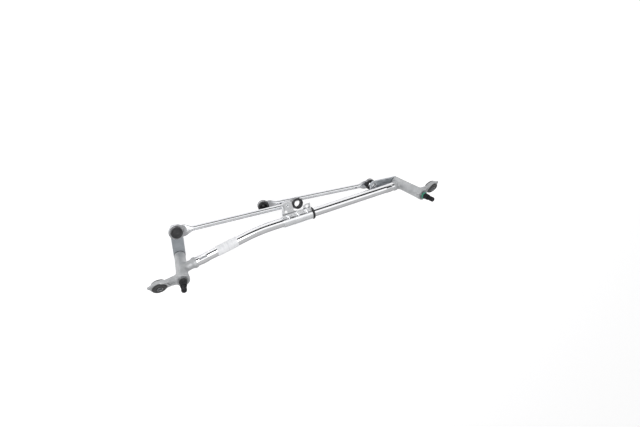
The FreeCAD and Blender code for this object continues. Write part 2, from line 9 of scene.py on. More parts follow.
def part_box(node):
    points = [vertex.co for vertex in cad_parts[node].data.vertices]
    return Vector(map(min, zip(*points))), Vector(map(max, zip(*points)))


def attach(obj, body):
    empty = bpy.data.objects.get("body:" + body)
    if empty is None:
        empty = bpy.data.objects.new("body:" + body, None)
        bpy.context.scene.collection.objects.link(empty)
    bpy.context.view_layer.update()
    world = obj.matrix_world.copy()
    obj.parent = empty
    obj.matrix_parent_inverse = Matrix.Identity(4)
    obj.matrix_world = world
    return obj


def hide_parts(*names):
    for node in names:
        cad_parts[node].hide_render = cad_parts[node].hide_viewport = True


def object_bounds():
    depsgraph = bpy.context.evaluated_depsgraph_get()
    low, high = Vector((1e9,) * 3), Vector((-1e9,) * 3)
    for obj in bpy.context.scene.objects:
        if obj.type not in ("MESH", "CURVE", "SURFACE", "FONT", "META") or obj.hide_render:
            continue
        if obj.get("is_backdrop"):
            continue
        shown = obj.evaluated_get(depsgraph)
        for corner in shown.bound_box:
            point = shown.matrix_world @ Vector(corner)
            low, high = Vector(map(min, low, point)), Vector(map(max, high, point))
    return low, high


# Tandem windshield wiper linkage. Lengths in this script are millimetres, as in the CAD source, and
# become metres when a mesh or a light is made.
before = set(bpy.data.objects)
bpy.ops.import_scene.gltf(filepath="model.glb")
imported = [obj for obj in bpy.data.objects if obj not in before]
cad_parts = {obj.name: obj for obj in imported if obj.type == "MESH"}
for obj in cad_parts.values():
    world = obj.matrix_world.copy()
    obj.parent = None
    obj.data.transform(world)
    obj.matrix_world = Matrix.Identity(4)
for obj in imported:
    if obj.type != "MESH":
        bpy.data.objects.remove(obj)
CAD_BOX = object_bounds()
MM = 0.001

X_AXIS = np.array([1.0, 0.0, 0.0])
Z_AXIS = np.array([0.0, 0.0, 1.0])


def unit(vector):
    return np.asarray(vector, float) / np.linalg.norm(vector)


def leaning(degrees):
    """The direction that leans from +Z towards +X."""
    angle = math.radians(degrees)
    return np.array([math.sin(angle), 0.0, math.cos(angle)])


# Where things are
LEFT_PIVOT = np.array([47.0, 9.0, -11.4])
RIGHT_PIVOT = LEFT_PIVOT + X_AXIS * 510.0
LEFT_AXIS = leaning(-8.0)
RIGHT_AXIS = leaning(7.0)
MOUNT_TILT = math.radians(23.6)
MOUNT_AXIS = np.array([0.0, -math.sin(MOUNT_TILT), math.cos(MOUNT_TILT)])
LEFT_MOUNT = np.zeros(3)
RIGHT_MOUNT = np.array([604.0, 6.7, 37.8])
BEND = LEFT_PIVOT + np.array([160.0, 20.0, 0.0])
LEFT_RUN = unit(BEND - LEFT_PIVOT)
RIGHT_RUN = unit(RIGHT_PIVOT - BEND)
LEFT_ROD_END = LEFT_PIVOT + np.array([263.0, 28.0, -33.0])
RIGHT_ROD_END = LEFT_PIVOT + np.array([197.0, 34.0, -60.0])

# Frame tube and castings
TUBE_R = 10.0
TUBE_WALL = 1.5
BEND_R = 300.0
LEFT_TUBE_START = 30.0
RIGHT_TUBE_START = 22.0
CRIMP_MIDDLE = 14.5
CRIMP_HALF_LENGTH = 7.5
CRIMP_HALF_WIDTH = 2.0
CRIMP_DEPTH = 1.25
SPIGOT_GAP = 0.05
SPIGOT_LENGTH = 30.0
BORE_R = 7.3
BUSH_R = 8.0
BUSH_LENGTH = 14.0
EYE_R = 15.5
EYE_HALF = 3.5
NOSE_SWELL = 0.37       # brings the rounded nose out to the CAD nose's tip
GROOVE_R = 10.5
GROMMET_R = 13.6
GROMMET_HALF = 7.0
SLEEVE_R = 5.4
SLEEVE_BORE_R = 4.2
SLEEVE_HALF = 7.5

# Spindles, cranks and ball joints
SHAFT_R = 6.5
END_PLAY = 0.1
WASHER = 1.2
LEVER_THICKNESS = 4.5
LEVER_HALF_WIDTH = 11.5
LEVER_END = 9.0
PRESS_R = 5.5
CLIP_GROOVE_R = 5.6
CLIP_R = 8.6
WASHER_R = 10.5
THRUST_WASHER_R = 11.1
SEAL_GROOVE_R = 5.4
SEAL_R = 7.4
SEAL_LENGTH = 3.5
KNURL_LENGTH = 10.0
THREAD_R = 5.0
THREAD_PITCH = 1.5
THREAD_DEPTH = 0.8
BALL_R = 8.0
SEAT_R = 8.3
BALL_HEIGHT = 12.2
PIN_SHANK_R = 4.0
PIN_NECK_R = 3.8
SOCKET_R = 12.0
SOCKET_GROOVE_R = 10.0
SOCKET_HALF = 5.5
SOCKET_TOP = 10.8
LIP_R = 7.27
MOUTH_R = 7.8
ROD_R = 5.5
ROD_EYE_HALF = 2.0
NECK_LENGTH = 17.0

WIDE_EYE_R = 14.3
EYE_RIM_R = 11.8

# Motor bracket and label
BRACKET_ALONG = 53.0
BRACKET_LENGTH = 65.0
SHEET = 2.0
LABEL_ALONG = 72.0
LABEL_LENGTH = 42.0

# Studio
FLOOR_DROP = 0.08       # metres; room for the rods' free ends, which dip when they swing
FLOOR_HALF = 20.0
CAMERA_PLACE = (0.0457, 0.4902, 0.6560)
CAMERA_BACK = (-0.3432, 0.5460, 0.7643)
CAMERA_UP = (0.3399, 0.8308, -0.4408)
CAMERA_LENS = 23.09
LIGHT_OFFSET = (-0.7, 1.0, 1.5)
LIGHT_WATTS = 16.0

# The studio's brightness against the sine of the elevation, on its dark side and all round
DARK_SIDE = [
    (0.0, 0.35), (0.02, 0.3), (0.05, 0.01), (0.52, 0.01), (0.58, 1.3), (0.88, 1.3), (0.93, 0.74), (1.0, 0.68),
]
PLAIN_SIDE = [(0.0, 0.3), (0.3, 0.45), (0.6, 0.58), (1.0, 0.66)]


class Place:
    """A right-handed set of axes at a point of the row frame."""

    def __init__(self, base, z_axis, x_hint=X_AXIS):
        z = unit(z_axis)
        x = unit(x_hint - z * np.dot(x_hint, z))
        self.base = np.asarray(base, float)
        self.axes = np.array([x, np.cross(z, x), z])

    def local(self, points):
        return (points - self.base) @ self.axes.T

    def turned(self, points):
        """Local points turned into the row frame's directions, still counted from the base."""
        return np.asarray(points) @ self.axes


ROW = Place(np.zeros(3), Z_AXIS)


# Mesh building

def linked(name, data):
    made = bpy.data.objects.new(name, data)
    bpy.context.scene.collection.objects.link(made)
    return made


def make_piece(piece, points, faces, place, sharp=40.0, marks=None):
    """A smooth-shaded visible piece, given as its CAD node, a word for its name, its body and its slot.

    Marks are named values from 0 to 1 for every point, for the finish to use. The object stays square to
    the row frame; the points' own local places go along for the finish.
    """
    node, word, body, slot = piece
    name = f"{node}_{word}"
    mesh = bpy.data.meshes.new(name)
    mesh.from_pydata((place.turned(points) * MM).tolist(), [], np.asarray(faces).tolist())
    own = mesh.attributes.new("own_place", "FLOAT_VECTOR", "POINT")
    own.data.foreach_set("vector", (np.asarray(points) * MM).astype(np.float32).ravel())
    for mark, values in (marks or {}).items():
        mesh.attributes.new(mark, "FLOAT", "POINT").data.foreach_set("value", values.astype(np.float32))
    work = bmesh.new()
    work.from_mesh(mesh)
    bmesh.ops.remove_doubles(work, verts=work.verts, dist=1e-7)
    bmesh.ops.dissolve_degenerate(work, edges=work.edges, dist=1e-7)
    bmesh.ops.recalc_face_normals(work, faces=work.faces)
    work.to_mesh(mesh)
    work.free()
    mesh.shade_smooth()
    mesh.set_sharp_from_angle(angle=math.radians(sharp))
    mesh.materials.append(FINISHES[slot])
    made = linked(name, mesh)
    made.location = place.base * MM
    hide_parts(node)
    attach(made, body)


def full_turn(segments):
    return np.linspace(0, 2 * math.pi, segments, endpoint=False)


def grid_faces(rows, columns, closed):
    """Quads between neighbouring rows; every row is a closed ring of columns points."""
    index = np.arange(rows * columns).reshape(rows, columns)
    if closed:
        index = np.vstack([index, index[:1]])
    turned = np.roll(index, -1, axis=1)
    quads = np.stack([index[:-1], turned[:-1], turned[1:], index[1:]], axis=-1)
    return quads.reshape(-1, 4)


def softened(points, radius, closed=True, steps=3):
    """The outline with each corner turned into a small curve."""
    points = np.asarray(points, float)
    result = []
    count = len(points)
    for i, corner in enumerate(points):
        if not closed and i in (0, count - 1):
            result.append(corner)
            continue
        before = points[i - 1] - corner
        after = points[(i + 1) % count] - corner
        start = corner + unit(before) * min(radius, 0.45 * np.linalg.norm(before))
        end = corner + unit(after) * min(radius, 0.45 * np.linalg.norm(after))
        for t in np.linspace(0, 1, steps + 1):
            result.append((1 - t) ** 2 * start + 2 * t * (1 - t) * corner + t * t * end)
    return np.array(result)


def lathe(piece, profile, place, closed=True, soft=0.3, segments=96):
    """Revolve a (radius, height) outline about the place's Z."""
    outline = softened(profile, soft, closed)
    angles = full_turn(segments)
    radius = outline[:, :1]
    height = np.repeat(outline[:, 1:], segments, axis=1)
    points = np.stack([radius * np.cos(angles), radius * np.sin(angles), height], axis=-1)
    make_piece(piece, points.reshape(-1, 3), grid_faces(len(outline), segments, closed), place)


def edge_ends(values, axis, others=slice(None)):
    """The values at the two ends of every grid edge along an axis."""
    low = [others] * 3
    high = [others] * 3
    low[axis] = slice(None, -1)
    high[axis] = slice(1, None)
    return values[tuple(low)], values[tuple(high)]


def crossing_points(values):
    """Per grid cell, how many of its edges the surface crosses, and the sum of the crossing points."""
    cells = tuple(n - 1 for n in values.shape)
    count = np.zeros(cells)
    total = np.zeros(cells + (3,))
    for axis in range(3):
        a, b = edge_ends(values, axis)
        crossed = (a < 0) != (b < 0)
        share = np.where(crossed, a / np.where(crossed, a - b, 1), 0)
        u, v = [i for i in range(3) if i != axis]
        for du in (0, 1):
            for dv in (0, 1):
                pick = [slice(None)] * 3
                pick[u] = slice(du, du + cells[u])
                pick[v] = slice(dv, dv + cells[v])
                here = crossed[tuple(pick)]
                count += here
                total[..., axis] += share[tuple(pick)]
                total[..., u] += here * du
                total[..., v] += here * dv
    return count, total


def net_faces(values, index):
    """A quad round every grid edge that the surface crosses."""
    faces = []
    for axis in range(3):
        u, v = [i for i in range(3) if i != axis]
        a, b = edge_ends(values, axis, slice(1, -1))
        at = np.argwhere((a < 0) != (b < 0))
        step_u = np.eye(3, dtype=int)[u]
        step_v = np.eye(3, dtype=int)[v]
        corners = [at, at + step_u, at + step_u + step_v, at + step_v]
        faces.append(np.stack([index[tuple(c.T)] for c in corners], axis=-1))
    return np.vstack(faces)


def slope_at(points, field, probe=0.05):
    return np.stack(
        [(field(points + probe * a) - field(points - probe * a)) / (2 * probe) for a in np.eye(3)], axis=-1)


def settled(points, field, rounds=3, reach=0.3):
    """The points moved onto the surface where the field is zero."""
    for _ in range(rounds):
        value = field(points)
        slope = slope_at(points, field)
        steep = np.maximum((slope ** 2).sum(axis=1), 0.3)
        move = slope * (value / steep)[:, None]
        length = np.linalg.norm(move, axis=1, keepdims=True)
        points = points - move * np.minimum(1, reach / np.maximum(length, 1e-9))
    return points


def surface_marks(points, field, hollow_reach=3.0, edge_reach=1.0):
    """How far each point is down in a hollow, and how near it is to an outer edge."""
    slope = slope_at(points, field)
    outward = slope / np.maximum(np.linalg.norm(slope, axis=1, keepdims=True), 1e-6)
    hollow = 1 - field(points + outward * hollow_reach) / hollow_reach
    edge = 1 + field(points - outward * edge_reach) / edge_reach
    return {"hollow": np.clip(hollow, 0, 1), "edge": np.clip(edge, 0, 1)}


def solid(piece, field, low, high, place, step, pressed=None):
    """Mesh of the space where the field of local points is negative; pressed gives one more mark."""
    low = np.asarray(low, float) - 1.3 * step
    counts = np.ceil((np.asarray(high, float) + 1.3 * step - low) / step).astype(int) + 1
    axes = [low[i] + step * np.arange(counts[i]) for i in range(3)]
    grid = np.stack(np.meshgrid(*axes, indexing="ij"), axis=-1)
    values = np.stack([field(layer.reshape(-1, 3)).reshape(layer.shape[:2]) for layer in grid])
    count, total = crossing_points(values)
    used = count > 0
    index = np.full(count.shape, -1)
    index[used] = np.arange(used.sum())
    points = (np.argwhere(used) + total[used] / count[used][:, None]) * step + low
    points = settled(points, field)
    marks = surface_marks(points, field)
    if pressed:
        marks["pressed"] = pressed(points)
    make_piece(piece, points, net_faces(values, index), place, sharp=50.0, marks=marks)


# Distances to simple shapes, negative inside

BEYOND_AXIS = 40.0      # keeps an outline's closing line on the axis away from the solid

def polygon_distance(across, up, corners):
    corners = np.asarray(corners, float)
    nearest = np.full(across.shape, np.inf)
    sign = np.ones(across.shape)
    for start, end in zip(corners, np.roll(corners, -1, axis=0)):
        edge_x, edge_y = end - start
        off_x = across - start[0]
        off_y = up - start[1]
        along = np.clip((off_x * edge_x + off_y * edge_y) / (edge_x ** 2 + edge_y ** 2), 0, 1)
        nearest = np.minimum(nearest, (off_x - edge_x * along) ** 2 + (off_y - edge_y * along) ** 2)
        above = up >= start[1]
        below = up < end[1]
        left = edge_x * off_y > edge_y * off_x
        sign = np.where((above & below & left) | ~(above | below | left), -sign, sign)
    return sign * np.sqrt(nearest)


def from_axis(points, radius=0.0):
    """Distance to the wall of an endless round bar about Z."""
    return np.hypot(points[:, 0], points[:, 1]) - radius


def revolved(points, profile):
    """Distance to an outline turned about Z; a profile's zero radius stands for the axis."""
    corners = [(radius if radius else -BEYOND_AXIS, height) for radius, height in profile]
    return polygon_distance(from_axis(points), points[:, 2], corners)


def mirrored(lower):
    """An outline given from the bottom to its middle, and back up to the top."""
    return lower + [(radius, -height) for radius, height in reversed(lower)]


def slab(value, low, high):
    return np.maximum(low - value, value - high)


def rounded_cross(first, second, radius):
    """Where two distances meet at an outer edge, with that edge rounded."""
    a = first + radius
    b = second + radius
    return np.minimum(np.maximum(a, b), 0) + np.hypot(np.maximum(a, 0), np.maximum(b, 0)) - radius


def merged(first, second, fillet):
    """Union with a fillet in the inner corner."""
    blend = np.maximum(fillet - np.abs(first - second), 0) / fillet
    return np.minimum(first, second) - blend * blend * fillet * 0.25


def cut_from(body, tool, edge=0.0):
    if edge:
        return rounded_cross(body, -tool, edge)
    return np.maximum(body, -tool)


def ease(value):
    """0 to 1 with a soft start and end."""
    value = np.clip(value, 0, 1)
    return value * value * (3 - 2 * value)


def between(start, end, share):
    return start + (end - start) * share


def ball_distance(points, centre, radius):
    return np.linalg.norm(points - np.asarray(centre, float), axis=1) - radius


# Pivot housings

class Side:
    """Everything that differs between the two pivots, their cranks and their rods."""

    def __init__(self, name, pivot, axis, span, radius, flare, run, tube_start, arm_height, mount, nose,
                 lever, lever_degrees, rod_end, roll, facing, eye_r):
        self.name = name
        self.body = name + "_crank"
        self.rod_body = name + "_rod"
        self.pivot = pivot
        self.axis = axis
        self.bottom, self.top = span
        self.radius = radius
        self.flare = flare
        self.tube_start = tube_start
        self.place = Place(pivot, axis)
        self.tube_place = Place(pivot, run, Z_AXIS)
        self.mount_place = Place(mount, MOUNT_AXIS)
        self.arm_root = pivot + axis * arm_height
        self.mount = mount
        self.nose = nose
        self.lever = lever
        self.lever_degrees = lever_degrees
        self.rod_end = rod_end
        self.roll = roll
        self.facing = facing
        self.eye_r = eye_r
        self.lever_top = self.bottom - END_PLAY - WASHER
        self.lever_bottom = self.lever_top - LEVER_THICKNESS
        self.washer = self.top + END_PLAY
        self.clip = self.washer + WASHER
        self.seal = self.clip + WASHER
        self.knurl = self.seal + SEAL_LENGTH
        self.thread = self.knurl + KNURL_LENGTH
        self.tip = self.thread + 14.0


LEFT = Side("left", LEFT_PIVOT, LEFT_AXIS, span=(-44.5, 35.0), radius=10.5, flare=2.2, run=LEFT_RUN,
            tube_start=LEFT_TUBE_START, arm_height=26.5, mount=LEFT_MOUNT, nose=(158.0, 22.0),
            lever=61.0, lever_degrees=80.4, rod_end=LEFT_ROD_END, roll=16.0, facing=1, eye_r=WIDE_EYE_R)
RIGHT = Side("right", RIGHT_PIVOT, RIGHT_AXIS, span=(-17.5, 68.5), radius=11.3, flare=0.8, run=RIGHT_RUN * -1,
             tube_start=RIGHT_TUBE_START, arm_height=59.5, mount=RIGHT_MOUNT, nose=(29.0, 20.5),
             lever=65.0, lever_degrees=167.9, rod_end=RIGHT_ROD_END, roll=0.0, facing=-1, eye_r=EYE_RIM_R)


def barrel_distance(points, side):
    """Cast barrel with a rim, a flare, staking lumps at the threaded end and a faint parting line."""
    local = side.place.local(points)
    bottom, top, radius = side.bottom, side.top, side.radius
    outer = radius + side.flare
    body = revolved(local, [
        (0, bottom), (radius + 0.4, bottom), (radius + 0.4, bottom + 3), (radius, bottom + 5),
        (radius + 0.2, top - 14), (outer, top - 7), (outer, top - 1), (outer - 1, top), (0, top),
    ])
    for degrees in (35, 155, 275):
        angle = math.radians(degrees)
        centre = np.array([math.cos(angle), math.sin(angle)]) * (outer - 0.9)
        post = np.hypot(local[:, 0] - centre[0], local[:, 1] - centre[1]) - 2.6
        lump = rounded_cross(post, slab(local[:, 2], top - 11, top - 0.6), 1.0)
        body = merged(body, lump, 2.0)
    body = np.maximum(body, slab(local[:, 2], bottom, top))
    seam = np.exp(-(local[:, 0] / 0.8) ** 2) * 0.3
    return body - seam * (np.abs(local[:, 2] - (bottom + top) / 2) < (top - bottom) / 2 - 2)


def collar_distance(points, side):
    """The neck between the barrel and the tube, up to the tube's end."""
    local = side.tube_place.local(points)
    start = side.tube_start
    return revolved(local, [
        (0, 0), (9.0, 0), (9.0, start - 10), (10.8, start - 5), (10.8, start), (0, start),
    ])


def crimp_distance(angle, along, radius):
    """Distance on the tube's surface to the nearest of the four stadium-shaped crimps."""
    quarter = math.pi / 2
    turn = np.mod(angle, quarter) - quarter / 2
    beyond = np.maximum(np.abs(along - CRIMP_MIDDLE) - (CRIMP_HALF_LENGTH - CRIMP_HALF_WIDTH), 0)
    return np.hypot(turn * radius, beyond) - CRIMP_HALF_WIDTH


def spigot_distance(points, side):
    """The plug inside the tube, with pockets that take the crimped wall."""
    local = side.tube_place.local(points)
    start = side.tube_start
    radius = TUBE_R - TUBE_WALL - SPIGOT_GAP
    end = start + SPIGOT_LENGTH
    plug = revolved(local, [
        (0, start - 2), (radius, start - 2), (radius, end - 2), (radius - 2, end), (0, end),
    ])
    around = np.arctan2(local[:, 1], local[:, 0])
    pocket = crimp_distance(around, local[:, 2] - start, TUBE_R) - 0.9
    deep = radius - CRIMP_DEPTH - 0.4 - from_axis(local)
    return cut_from(plug, np.maximum(pocket, deep))


def arm_distance(points, side):
    """Arm that narrows from a tall root to the eye, with a pocket in each face, and a web behind it."""
    root = side.arm_root
    reach_vector = side.mount - root
    flat = reach_vector - MOUNT_AXIS * np.dot(reach_vector, MOUNT_AXIS)
    reach = np.linalg.norm(flat)
    out = flat / reach
    across = np.cross(MOUNT_AXIS, out)
    along = (points - root) @ out
    share = np.clip(along / reach, 0, 1)
    offset = points - root - share[:, None] * reach_vector
    side_way = np.abs(offset @ across)
    height = offset @ MOUNT_AXIS
    half_width = between(8.5, EYE_R * 0.8, ease(share * 1.2 - 0.2))
    top = between(8.0, EYE_HALF, ease(share * 2))
    bottom = between(-8.0, -EYE_HALF, ease(share * 1.3))
    section = rounded_cross(side_way - half_width, slab(height, bottom, top), 1.4)
    arm = np.maximum(section, slab(along, 0, reach))
    deep = np.minimum(top - 1.5 - height, height - bottom - 1.5)
    window = rounded_cross(side_way - half_width + 3.2, slab(along, 13.5, reach - 17.5), 1.5)
    arm = cut_from(arm, np.maximum(window, deep), 0.5)
    return merged(arm, web_distance(points, side, out, across, reach), 2.5)


def web_distance(points, side, out, across, reach):
    """Triangular web that ties the arm to the barrel above and below its root."""
    offset = points - side.arm_root
    outline = [(0, -12.0), (7, -11.5), (reach * 0.5, -3.0), (reach * 0.5, 2.0), (6, 7.0), (0, 7.0)]
    face = polygon_distance(offset @ out, offset @ side.axis, outline)
    return rounded_cross(face, np.abs(offset @ across) - 2.0, 0.8)


def eye_distance(points, side):
    """Flat ring round the grommet with its pointed nose."""
    local = side.mount_place.local(points)
    ring = rounded_cross(from_axis(local, EYE_R), np.abs(local[:, 2]) - EYE_HALF, 0.9)
    degrees, reach = side.nose
    angle = math.radians(degrees)
    forward = local[:, 0] * math.cos(angle) + local[:, 1] * math.sin(angle)
    sideways = local[:, 1] * math.cos(angle) - local[:, 0] * math.sin(angle)
    wide = EYE_R * 0.75
    outline = [(0, -wide), (EYE_R * 0.6, -wide), (reach - 1.2, -1.0), (reach - 1.2, 1.0), (EYE_R * 0.6, wide),
               (0, wide)]
    tip = polygon_distance(forward, sideways, outline)
    nose = rounded_cross(tip - NOSE_SWELL, np.abs(local[:, 2]) - 1.7, 0.7)
    return merged(ring, nose, 1.5)


def housing_holes(points, side):
    local = side.place.local(points)
    bottom, top = side.bottom, side.top
    bore = revolved(local, [
        (0, bottom - 1), (BUSH_R, bottom - 1), (BUSH_R, bottom + BUSH_LENGTH), (BORE_R, bottom + BUSH_LENGTH),
        (BORE_R, top - BUSH_LENGTH), (BUSH_R, top - BUSH_LENGTH), (BUSH_R, top + 1), (0, top + 1),
    ])
    flange_r = GROMMET_R + 0.4
    hole = revolved(side.mount_place.local(points), mirrored([
        (0, -14), (flange_r, -14), (flange_r, -EYE_HALF), (GROOVE_R, -EYE_HALF),
    ]))
    return np.minimum(bore, hole)


def housing_field(side):
    def field(points):
        body = merged(barrel_distance(points, side), collar_distance(points, side), 5.0)
        limb = merged(arm_distance(points, side), eye_distance(points, side), 2.0)
        body = merged(body, limb, 4.0)
        past_collar = side.tube_place.local(points)[:, 2] - side.tube_start
        body = np.maximum(body, past_collar)
        body = np.minimum(body, spigot_distance(points, side))
        return cut_from(body, housing_holes(points, side), 0.35)
    return field


def make_housing(side):
    node = side.name + "_pivot_housing"
    low, high = [np.array(corner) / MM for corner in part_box(node)]
    piece = (node, "casting", "frame", "casting")
    solid(piece, housing_field(side), low - 1.5, high + 1.5, ROW, step=0.7)


# Frame tube, its label and the band

def tube_stations():
    """Centre points and directions along the tube: two straight runs joined by an arc."""
    start = LEFT_PIVOT + LEFT_RUN * LEFT_TUBE_START
    end = RIGHT_PIVOT - RIGHT_RUN * RIGHT_TUBE_START
    turn = math.acos(np.dot(LEFT_RUN, RIGHT_RUN))
    tangent = BEND_R * math.tan(turn / 2)
    arc_start = BEND - LEFT_RUN * tangent
    arc_end = BEND + RIGHT_RUN * tangent
    inward = unit(RIGHT_RUN - LEFT_RUN * np.dot(LEFT_RUN, RIGHT_RUN))
    stations = []
    for point, run, finish in [(start, LEFT_RUN, arc_start), (arc_end, RIGHT_RUN, end)]:
        length = np.linalg.norm(finish - point)
        stations.append([(point + run * s, run) for s in run_steps(length, run is LEFT_RUN)])
    bend = []
    for angle in np.linspace(0, turn, 40)[1:-1]:
        centre = arc_start + LEFT_RUN * BEND_R * math.sin(angle) + inward * BEND_R * (1 - math.cos(angle))
        bend.append((centre, LEFT_RUN * math.cos(angle) + inward * math.sin(angle)))
    return stations[0] + bend + stations[1]


def run_steps(length, crimp_first):
    """Distances along a straight run, close together where its free end is crimped."""
    crimped = np.concatenate([[0, 0.25, 0.6], np.arange(1.0, 24.0, 0.4)])
    plain = np.linspace(24.0, length, int(length / 4))
    steps = np.concatenate([crimped, plain])
    return steps if crimp_first else length - steps[::-1]


def sweep_rings(stations, radii, segments):
    """Rings of points round the stations; radii gives each station's radius for every angle."""
    angles = full_turn(segments)
    rings = []
    for (centre, run), radius in zip(stations, radii):
        side_way = unit(np.cross(run, Z_AXIS))
        upward = np.cross(side_way, run)
        spokes = np.outer(np.cos(angles), upward) + np.outer(np.sin(angles), side_way)
        rings.append(centre + spokes * np.reshape(radius, (-1, 1)))
    return rings


def crimped_rows(stations, radius, segments):
    """Wall radius with four crimps pressed in near each end, and how far each point is pressed."""
    angles = full_turn(segments)
    ends = [stations[0][0], stations[-1][0]]
    rows = []
    shares = []
    for centre, _ in stations:
        along = min(np.linalg.norm(centre - end) for end in ends)
        gap = crimp_distance(angles, along, TUBE_R)
        pressed = ease(0.5 - gap / 0.9)
        bulge = np.exp(-((gap - 1.0) / 0.8) ** 2) * 0.06
        mouth = max(0.0, 0.35 - along) * 0.8
        rows.append(radius - pressed * CRIMP_DEPTH + bulge - mouth)
        shares.append(pressed)
    return rows, np.concatenate(shares)


def make_tube():
    segments = 144
    stations = tube_stations()
    outside, pressed = crimped_rows(stations, TUBE_R, segments)
    inside, _ = crimped_rows(stations, TUBE_R - TUBE_WALL, segments)
    rings = sweep_rings(stations, outside, segments) + sweep_rings(stations, inside, segments)[::-1]
    # The hollow mark is the crimps' pressing on the outside and 1 over the whole inside wall; the zinc finish
    # paints shade with it.
    hollow = np.concatenate([pressed, np.ones(len(pressed))])
    faces = grid_faces(len(rings), segments, closed=True)
    marks = {"hollow": hollow, "edge": np.zeros(len(hollow))}
    piece = ("frame_tube", "zinc", "frame", "zinc_tube")
    make_piece(piece, np.vstack(rings), faces, ROW, sharp=50.0, marks=marks)


def make_label():
    """Thin wrapped film whose ends lie square to the row frame's X."""
    segments = 96
    start = LABEL_ALONG / LEFT_RUN[0]
    length = LABEL_LENGTH / LEFT_RUN[0]
    count = 12
    stations = [(LEFT_PIVOT + LEFT_RUN * (start + length * t), LEFT_RUN) for t in np.linspace(0, 1, count)]
    shell = [[TUBE_R + 0.28 - 0.1 * (i in (0, count - 1))] * segments for i in range(count)]
    inside = [[TUBE_R + 0.02] * segments] * count
    rings = sweep_rings(stations, shell, segments) + sweep_rings(stations, inside, segments)[::-1]
    for ring, (centre, run) in zip(rings, stations + stations[::-1]):
        ring += np.outer(centre[0] - ring[:, 0], run) / run[0]
    faces = grid_faces(len(rings), segments, closed=True)
    make_piece(("tube_label", "film", "frame", "label_film"), np.vstack(rings), faces, ROW)


def bracket_place():
    return Place(BEND + RIGHT_RUN * BRACKET_ALONG / RIGHT_RUN[0], Z_AXIS, RIGHT_RUN)


def make_band():
    base = bracket_place()
    along = base.axes[0]
    place = Place(base.base + along * (BRACKET_LENGTH + 0.2), along, Z_AXIS)
    outline = [(TUBE_R, 0), (12.4, 0), (12.8, 0.8), (12.8, 1.4), (12.3, 1.9), (12.3, 2.6), (12.8, 3.1),
               (12.8, 3.7), (12.4, 4.5), (TUBE_R, 4.5)]
    lathe(("bracket_band", "moulded", "frame", "band_plastic"), outline, place, soft=0.25)


# Motor bracket

def ear_outline():
    length = BRACKET_LENGTH
    return [(0, 0), (length, 0), (length, 24.0), (length - 1, 26.0), (length - 3, 26.5), (length - 12, 26.5),
            (length - 14, 25.5), (length - 15, 23.5), (length - 16.5, 18.5), (length - 19, 17.0), (34, 17.0),
            (29.5, 18.2), (27, 22.0), (24.3, 39.0), (21.5, 42.8), (18, 44.0), (8, 44.0), (4.5, 43), (3, 40)]


def bracket_field(points):
    """Folded sheet round the tube: the wrap, a strip of double sheet, two ears and one folded edge."""
    x, y, z = points.T
    length = BRACKET_LENGTH
    ends = slab(x, 0, length)
    radius = np.hypot(y, z)
    wrap = np.maximum(np.abs(radius - TUBE_R - SHEET / 2) - SHEET / 2, ends)
    back = rounded_cross(polygon_distance(x, y, ear_outline()), slab(z, -SHEET, 0.02), 0.35)
    front_outline = [(0, 0), (length, 0), (length, 14.5), (length - 1.5, 16), (1.5, 16), (0, 14.5)]
    front = rounded_cross(polygon_distance(x, y, front_outline), slab(z, 0, SHEET), 0.35)
    fold = rounded_cross(rounded_cross(slab(x, 3, 5), slab(y, 20, 36), 0.4), slab(z, -SHEET, 4.5), 0.4)
    body = merged(back, fold, 1.6)
    body = merged(np.minimum(body, front), wrap, 2.2)
    body = np.maximum(body, ends)
    for middle in (11.0, 32.0, 52.0):
        body = cut_from(body, ball_distance(points, (middle, 13.2, SHEET + 4.2), 4.8), 0.2)
    for centre, hole_r in [((14.5, 35.5), 3.3), ((57.0, 20.3), 3.3), ((10.0, 22.0), 3.0)]:
        body = cut_from(body, np.hypot(x - centre[0], y - centre[1]) - hole_r, 0.25)
    return np.maximum(body, TUBE_R - radius)


def make_bracket():
    low = (0, -12.5, -12.5)
    high = (BRACKET_LENGTH, 45, 12.5)
    piece = ("motor_bracket", "pressing", "frame", "bracket_steel")
    solid(piece, bracket_field, low, high, bracket_place(), step=0.55)


# Turned and moulded rings

def plain_ring(inner, outer, low, high):
    return [(inner, low), (outer, low), (outer, high), (inner, high)]


def make_ring(side, node, word, body, slot, outline, soft, place=None):
    """A revolved piece on the spindle's axis, unless a place is given."""
    lathe((f"{side.name}_{node}", word, body, slot), outline, place or side.place, soft=soft)


def make_frame_rings(side):
    for label, bottom in [("lower", side.bottom), ("upper", side.top - BUSH_LENGTH)]:
        outline = plain_ring(SHAFT_R + 0.03, BUSH_R, bottom, bottom + BUSH_LENGTH)
        make_ring(side, label + "_bush", "sintered", "frame", "bush_bronze", outline, 0.35)
    half = GROMMET_HALF
    outline = mirrored([
        (SLEEVE_R, -half), (6.4, -half), (6.8, -half + 0.7), (8.2, -half + 0.7), (8.6, -half), (12.0, -half),
        (GROMMET_R, -half + 1.5), (GROMMET_R, -EYE_HALF - 0.05), (GROOVE_R, -EYE_HALF - 0.05),
    ])
    make_ring(side, "mount_grommet", "rubber", "frame", "grommet_rubber", outline, 0.5, side.mount_place)
    half = SLEEVE_HALF
    outline = plain_ring(SLEEVE_BORE_R + 0.3, SLEEVE_R, -half, half)
    outline += [(SLEEVE_BORE_R, half - 0.4), (SLEEVE_BORE_R, -half + 0.4)]
    make_ring(side, "mount_sleeve", "turned", "frame", "small_steel", outline, 0.25, side.mount_place)


# Spindles

def thread_radius(height, angle, start, end):
    """Radius of a sixty-degree thread that fades out at both ends."""
    phase = np.mod(height / THREAD_PITCH - angle / (2 * math.pi), 1.0)
    tooth = np.clip(1.35 - np.abs(phase - 0.5) * 3.2, 0.0, 1.0)
    fade = ease((height - start) / 1.2) * ease((end - height) / 1.4)
    return THREAD_R - THREAD_DEPTH * (1 - tooth) * fade - 0.25 * (1 - fade)


